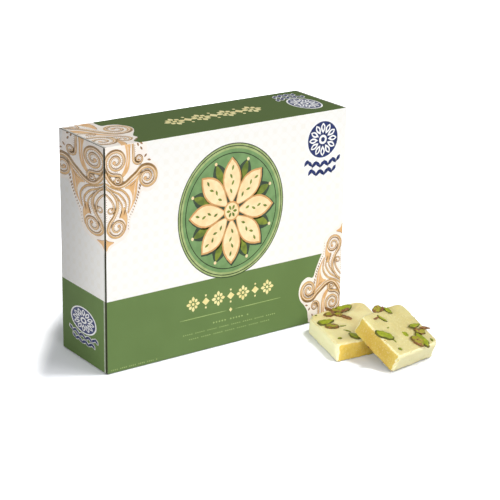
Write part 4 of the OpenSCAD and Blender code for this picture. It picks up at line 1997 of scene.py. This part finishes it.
@dataclass
class Studio:
    """A pale floor, soft lamps and the camera."""

    azimuth: float = -35.93
    elevation: float = 19.35
    roll: float = 1.06
    distance: float = 928.9
    aim_right: float = 24.82
    aim_down: float = 13.5
    aim_height: float = 63.5
    lens: float = 118.4
    sensor: float = 36.0
    haze: float = 0.36
    floor_glow: float = 0.02
    floor_whites: tuple[Colour, Colour] = (shade(234, 236, 240), shade(228, 230, 235))
    bounce: Colour = shade(142, 142, 144)
    lamps: tuple[Lamp, ...] = (
        ("key", (0.75, -1.05, 1.0), (0.0, 0.0, 0.06), 0.9, 12.2),
        ("fill", (-0.35, -1.5, 0.6), (0.0, 0.0, 0.04), 1.0, 9.0),
        ("rear", (-0.15, 1.6, 0.36), (0.0, 0.0, 0.06), 1.0, 8.0),
    )
    side_lamp: Lamp = ("low", (-1.45, -0.42, 0.49), (0.04, -0.09, 0.01), 0.03, 58.0)
    side_cone: float = 0.19
    floor_drop: float = -0.0002
    glow_far: Point = (0.15, 0.7)
    glow_left: Point = (-0.082, -0.099)
    picture_right: Point = (0.81, -0.587)
    floor_lamp: Lamp = ("floor_side", (0.74, -0.46, 1.75), (0.0, 0.0, 0.0), 0.42, 32.0)

    def build(self) -> None:
        """Sets up the whole studio."""
        self._camera()
        floor = self._floor()
        self._lamps(floor)
        self._world()
        bpy.context.scene.view_settings.view_transform = "Standard"
        LOG.info("studio ready")

    def _camera(self) -> None:
        """Places the camera at the picture's viewpoint."""
        around, above = math.radians(self.azimuth), math.radians(self.elevation)
        level = math.cos(above)
        back = Vector((math.sin(around) * level, -math.cos(around) * level, math.sin(above)))
        right = Vector((0, 0, 1)).cross(back).normalized()
        up = back.cross(right)
        turn = math.radians(self.roll)
        across = math.cos(turn) * right + math.sin(turn) * up
        upright = -math.sin(turn) * right + math.cos(turn) * up
        aim = Vector((0, 0, self.aim_height)) + across * self.aim_right - upright * self.aim_down
        data = bpy.data.cameras.new("camera")
        data.lens = self.lens
        data.sensor_width = self.sensor
        data.clip_start = 0.01
        camera = bpy.data.objects.new("camera", data)
        bpy.context.scene.collection.objects.link(camera)
        axes = Matrix((across, upright, back)).transposed().to_4x4()
        camera.matrix_world = Matrix.Translation((aim + back * self.distance) * MM) @ axes
        bpy.context.scene.camera = camera

    def _floor(self) -> bpy.types.Object:
        """Lays the floor, which shows white and still takes shadows.

        Returns:
            The floor.
        """
        data = bmesh.new()
        bmesh.ops.create_grid(data, x_segments=8, y_segments=8, size=3.0)
        mesh = bpy.data.meshes.new("floor")
        data.to_mesh(mesh)
        data.free()
        floor = link("floor", mesh)
        floor.location.z = self.floor_drop
        graph = Graph("floor_white")
        whites = graph.mix(graph.grain(400.0, 2.0) * 0.3, *self.floor_whites)
        dull = graph.node("ShaderNodeBsdfDiffuse", None, {"Color": self.bounce})
        matt = graph.node("ShaderNodeBsdfDiffuse", None, {"Color": whites})
        away = graph.node("ShaderNodeVectorMath", {"operation": "LENGTH"}, {0: graph.place()}, "Value")
        x, y, _ = graph.axes()
        left = (x * self.picture_right[0] + y * self.picture_right[1]).rise(*self.glow_left)
        bright = away.maths("MAXIMUM", away.rise(*self.glow_far), left)
        strength = self.floor_glow + bright * (1 - self.floor_glow)
        glow = graph.node("ShaderNodeEmission", None, {"Color": (1, 1, 1, 1), "Strength": strength})
        lit = graph.node("ShaderNodeAddShader", None, {0: matt, 1: glow})
        shown = graph.node("ShaderNodeMixShader", None, {0: self._in_view(graph), 1: dull, 2: lit})
        graph.node("ShaderNodeOutputMaterial", None, {"Surface": shown})
        mesh.materials.append(graph.material)
        return floor

    @staticmethod
    def _in_view(graph: Graph) -> Value:
        """Tells whether the camera sees a point, straight or in a gloss or through glass.

        Args:
            graph: The graph that asks.

        Returns:
            1 where it does.
        """
        path = graph.node("ShaderNodeLightPath", output="Is Camera Ray")
        glossy, through = path.other("Is Glossy Ray"), path.other("Is Transmission Ray")
        return path.maths("MAXIMUM", path.maths("MAXIMUM", path, glossy), through)

    def _lamps(self, floor: bpy.types.Object) -> None:
        """Hangs the soft lamps, one of which lights the floor alone and throws its shadows.

        Args:
            floor: The floor.
        """
        for name, place, target, size, power in (*self.lamps, self.floor_lamp):
            data = bpy.data.lights.new(name, "AREA")
            data.shape = "DISK"
            data.size = size
            lamp = self._hang(data, place, target, power)
        lit = bpy.data.collections.new("floor_only")
        lit.objects.link(floor)
        lamp.light_linking.receiver_collection = lit
        name, place, target, size, power = self.side_lamp
        data = bpy.data.lights.new(name, "SPOT")
        data.shadow_soft_size = size
        data.spot_size = self.side_cone
        data.spot_blend = 1.0
        self._hang(data, place, target, power)

    @staticmethod
    def _hang(data: bpy.types.Light, place: Spot, target: Spot, power: float) -> bpy.types.Object:
        """Puts a lamp in its place.

        Args:
            data: The lamp.
            place: Where it hangs, in metres.
            target: Where it points.
            power: Its power in watts.

        Returns:
            The lamp.
        """
        data.energy = power
        lamp = bpy.data.objects.new(data.name, data)
        lamp.location = place
        lamp.rotation_euler = (Vector(target) - Vector(place)).to_track_quat("-Z", "Y").to_euler()
        bpy.context.scene.collection.objects.link(lamp)
        return lamp

    def _world(self) -> None:
        """Surrounds the scene with an even white."""
        world = bpy.data.worlds.new("studio")
        world.use_nodes = True
        graph = Graph("studio", world)
        range_of = {"Value": self._in_view(graph), "To Min": self.haze, "To Max": 1.0}
        strength = graph.node("ShaderNodeMapRange", None, range_of)
        sky = graph.node("ShaderNodeBackground", None, {"Color": (1, 1, 1, 1), "Strength": strength})
        graph.node("ShaderNodeOutputWorld", None, {"Surface": sky})
        bpy.context.scene.world = world


def main() -> None:
    """Builds the looks."""
    logging.basicConfig(level=logging.INFO, format="%(name)s: %(message)s")
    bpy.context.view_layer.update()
    nodes = frame["nodes"]
    Studio().build()
    inks = {ink: InkFinish(ink).material() for ink in Ink}
    carton = Carton()
    carton.dress(nodes)
    carton.decorate(inks)
    Tray().dress(nodes)
    Sweets().build(nodes)


if __name__ == "__main__":
    main()
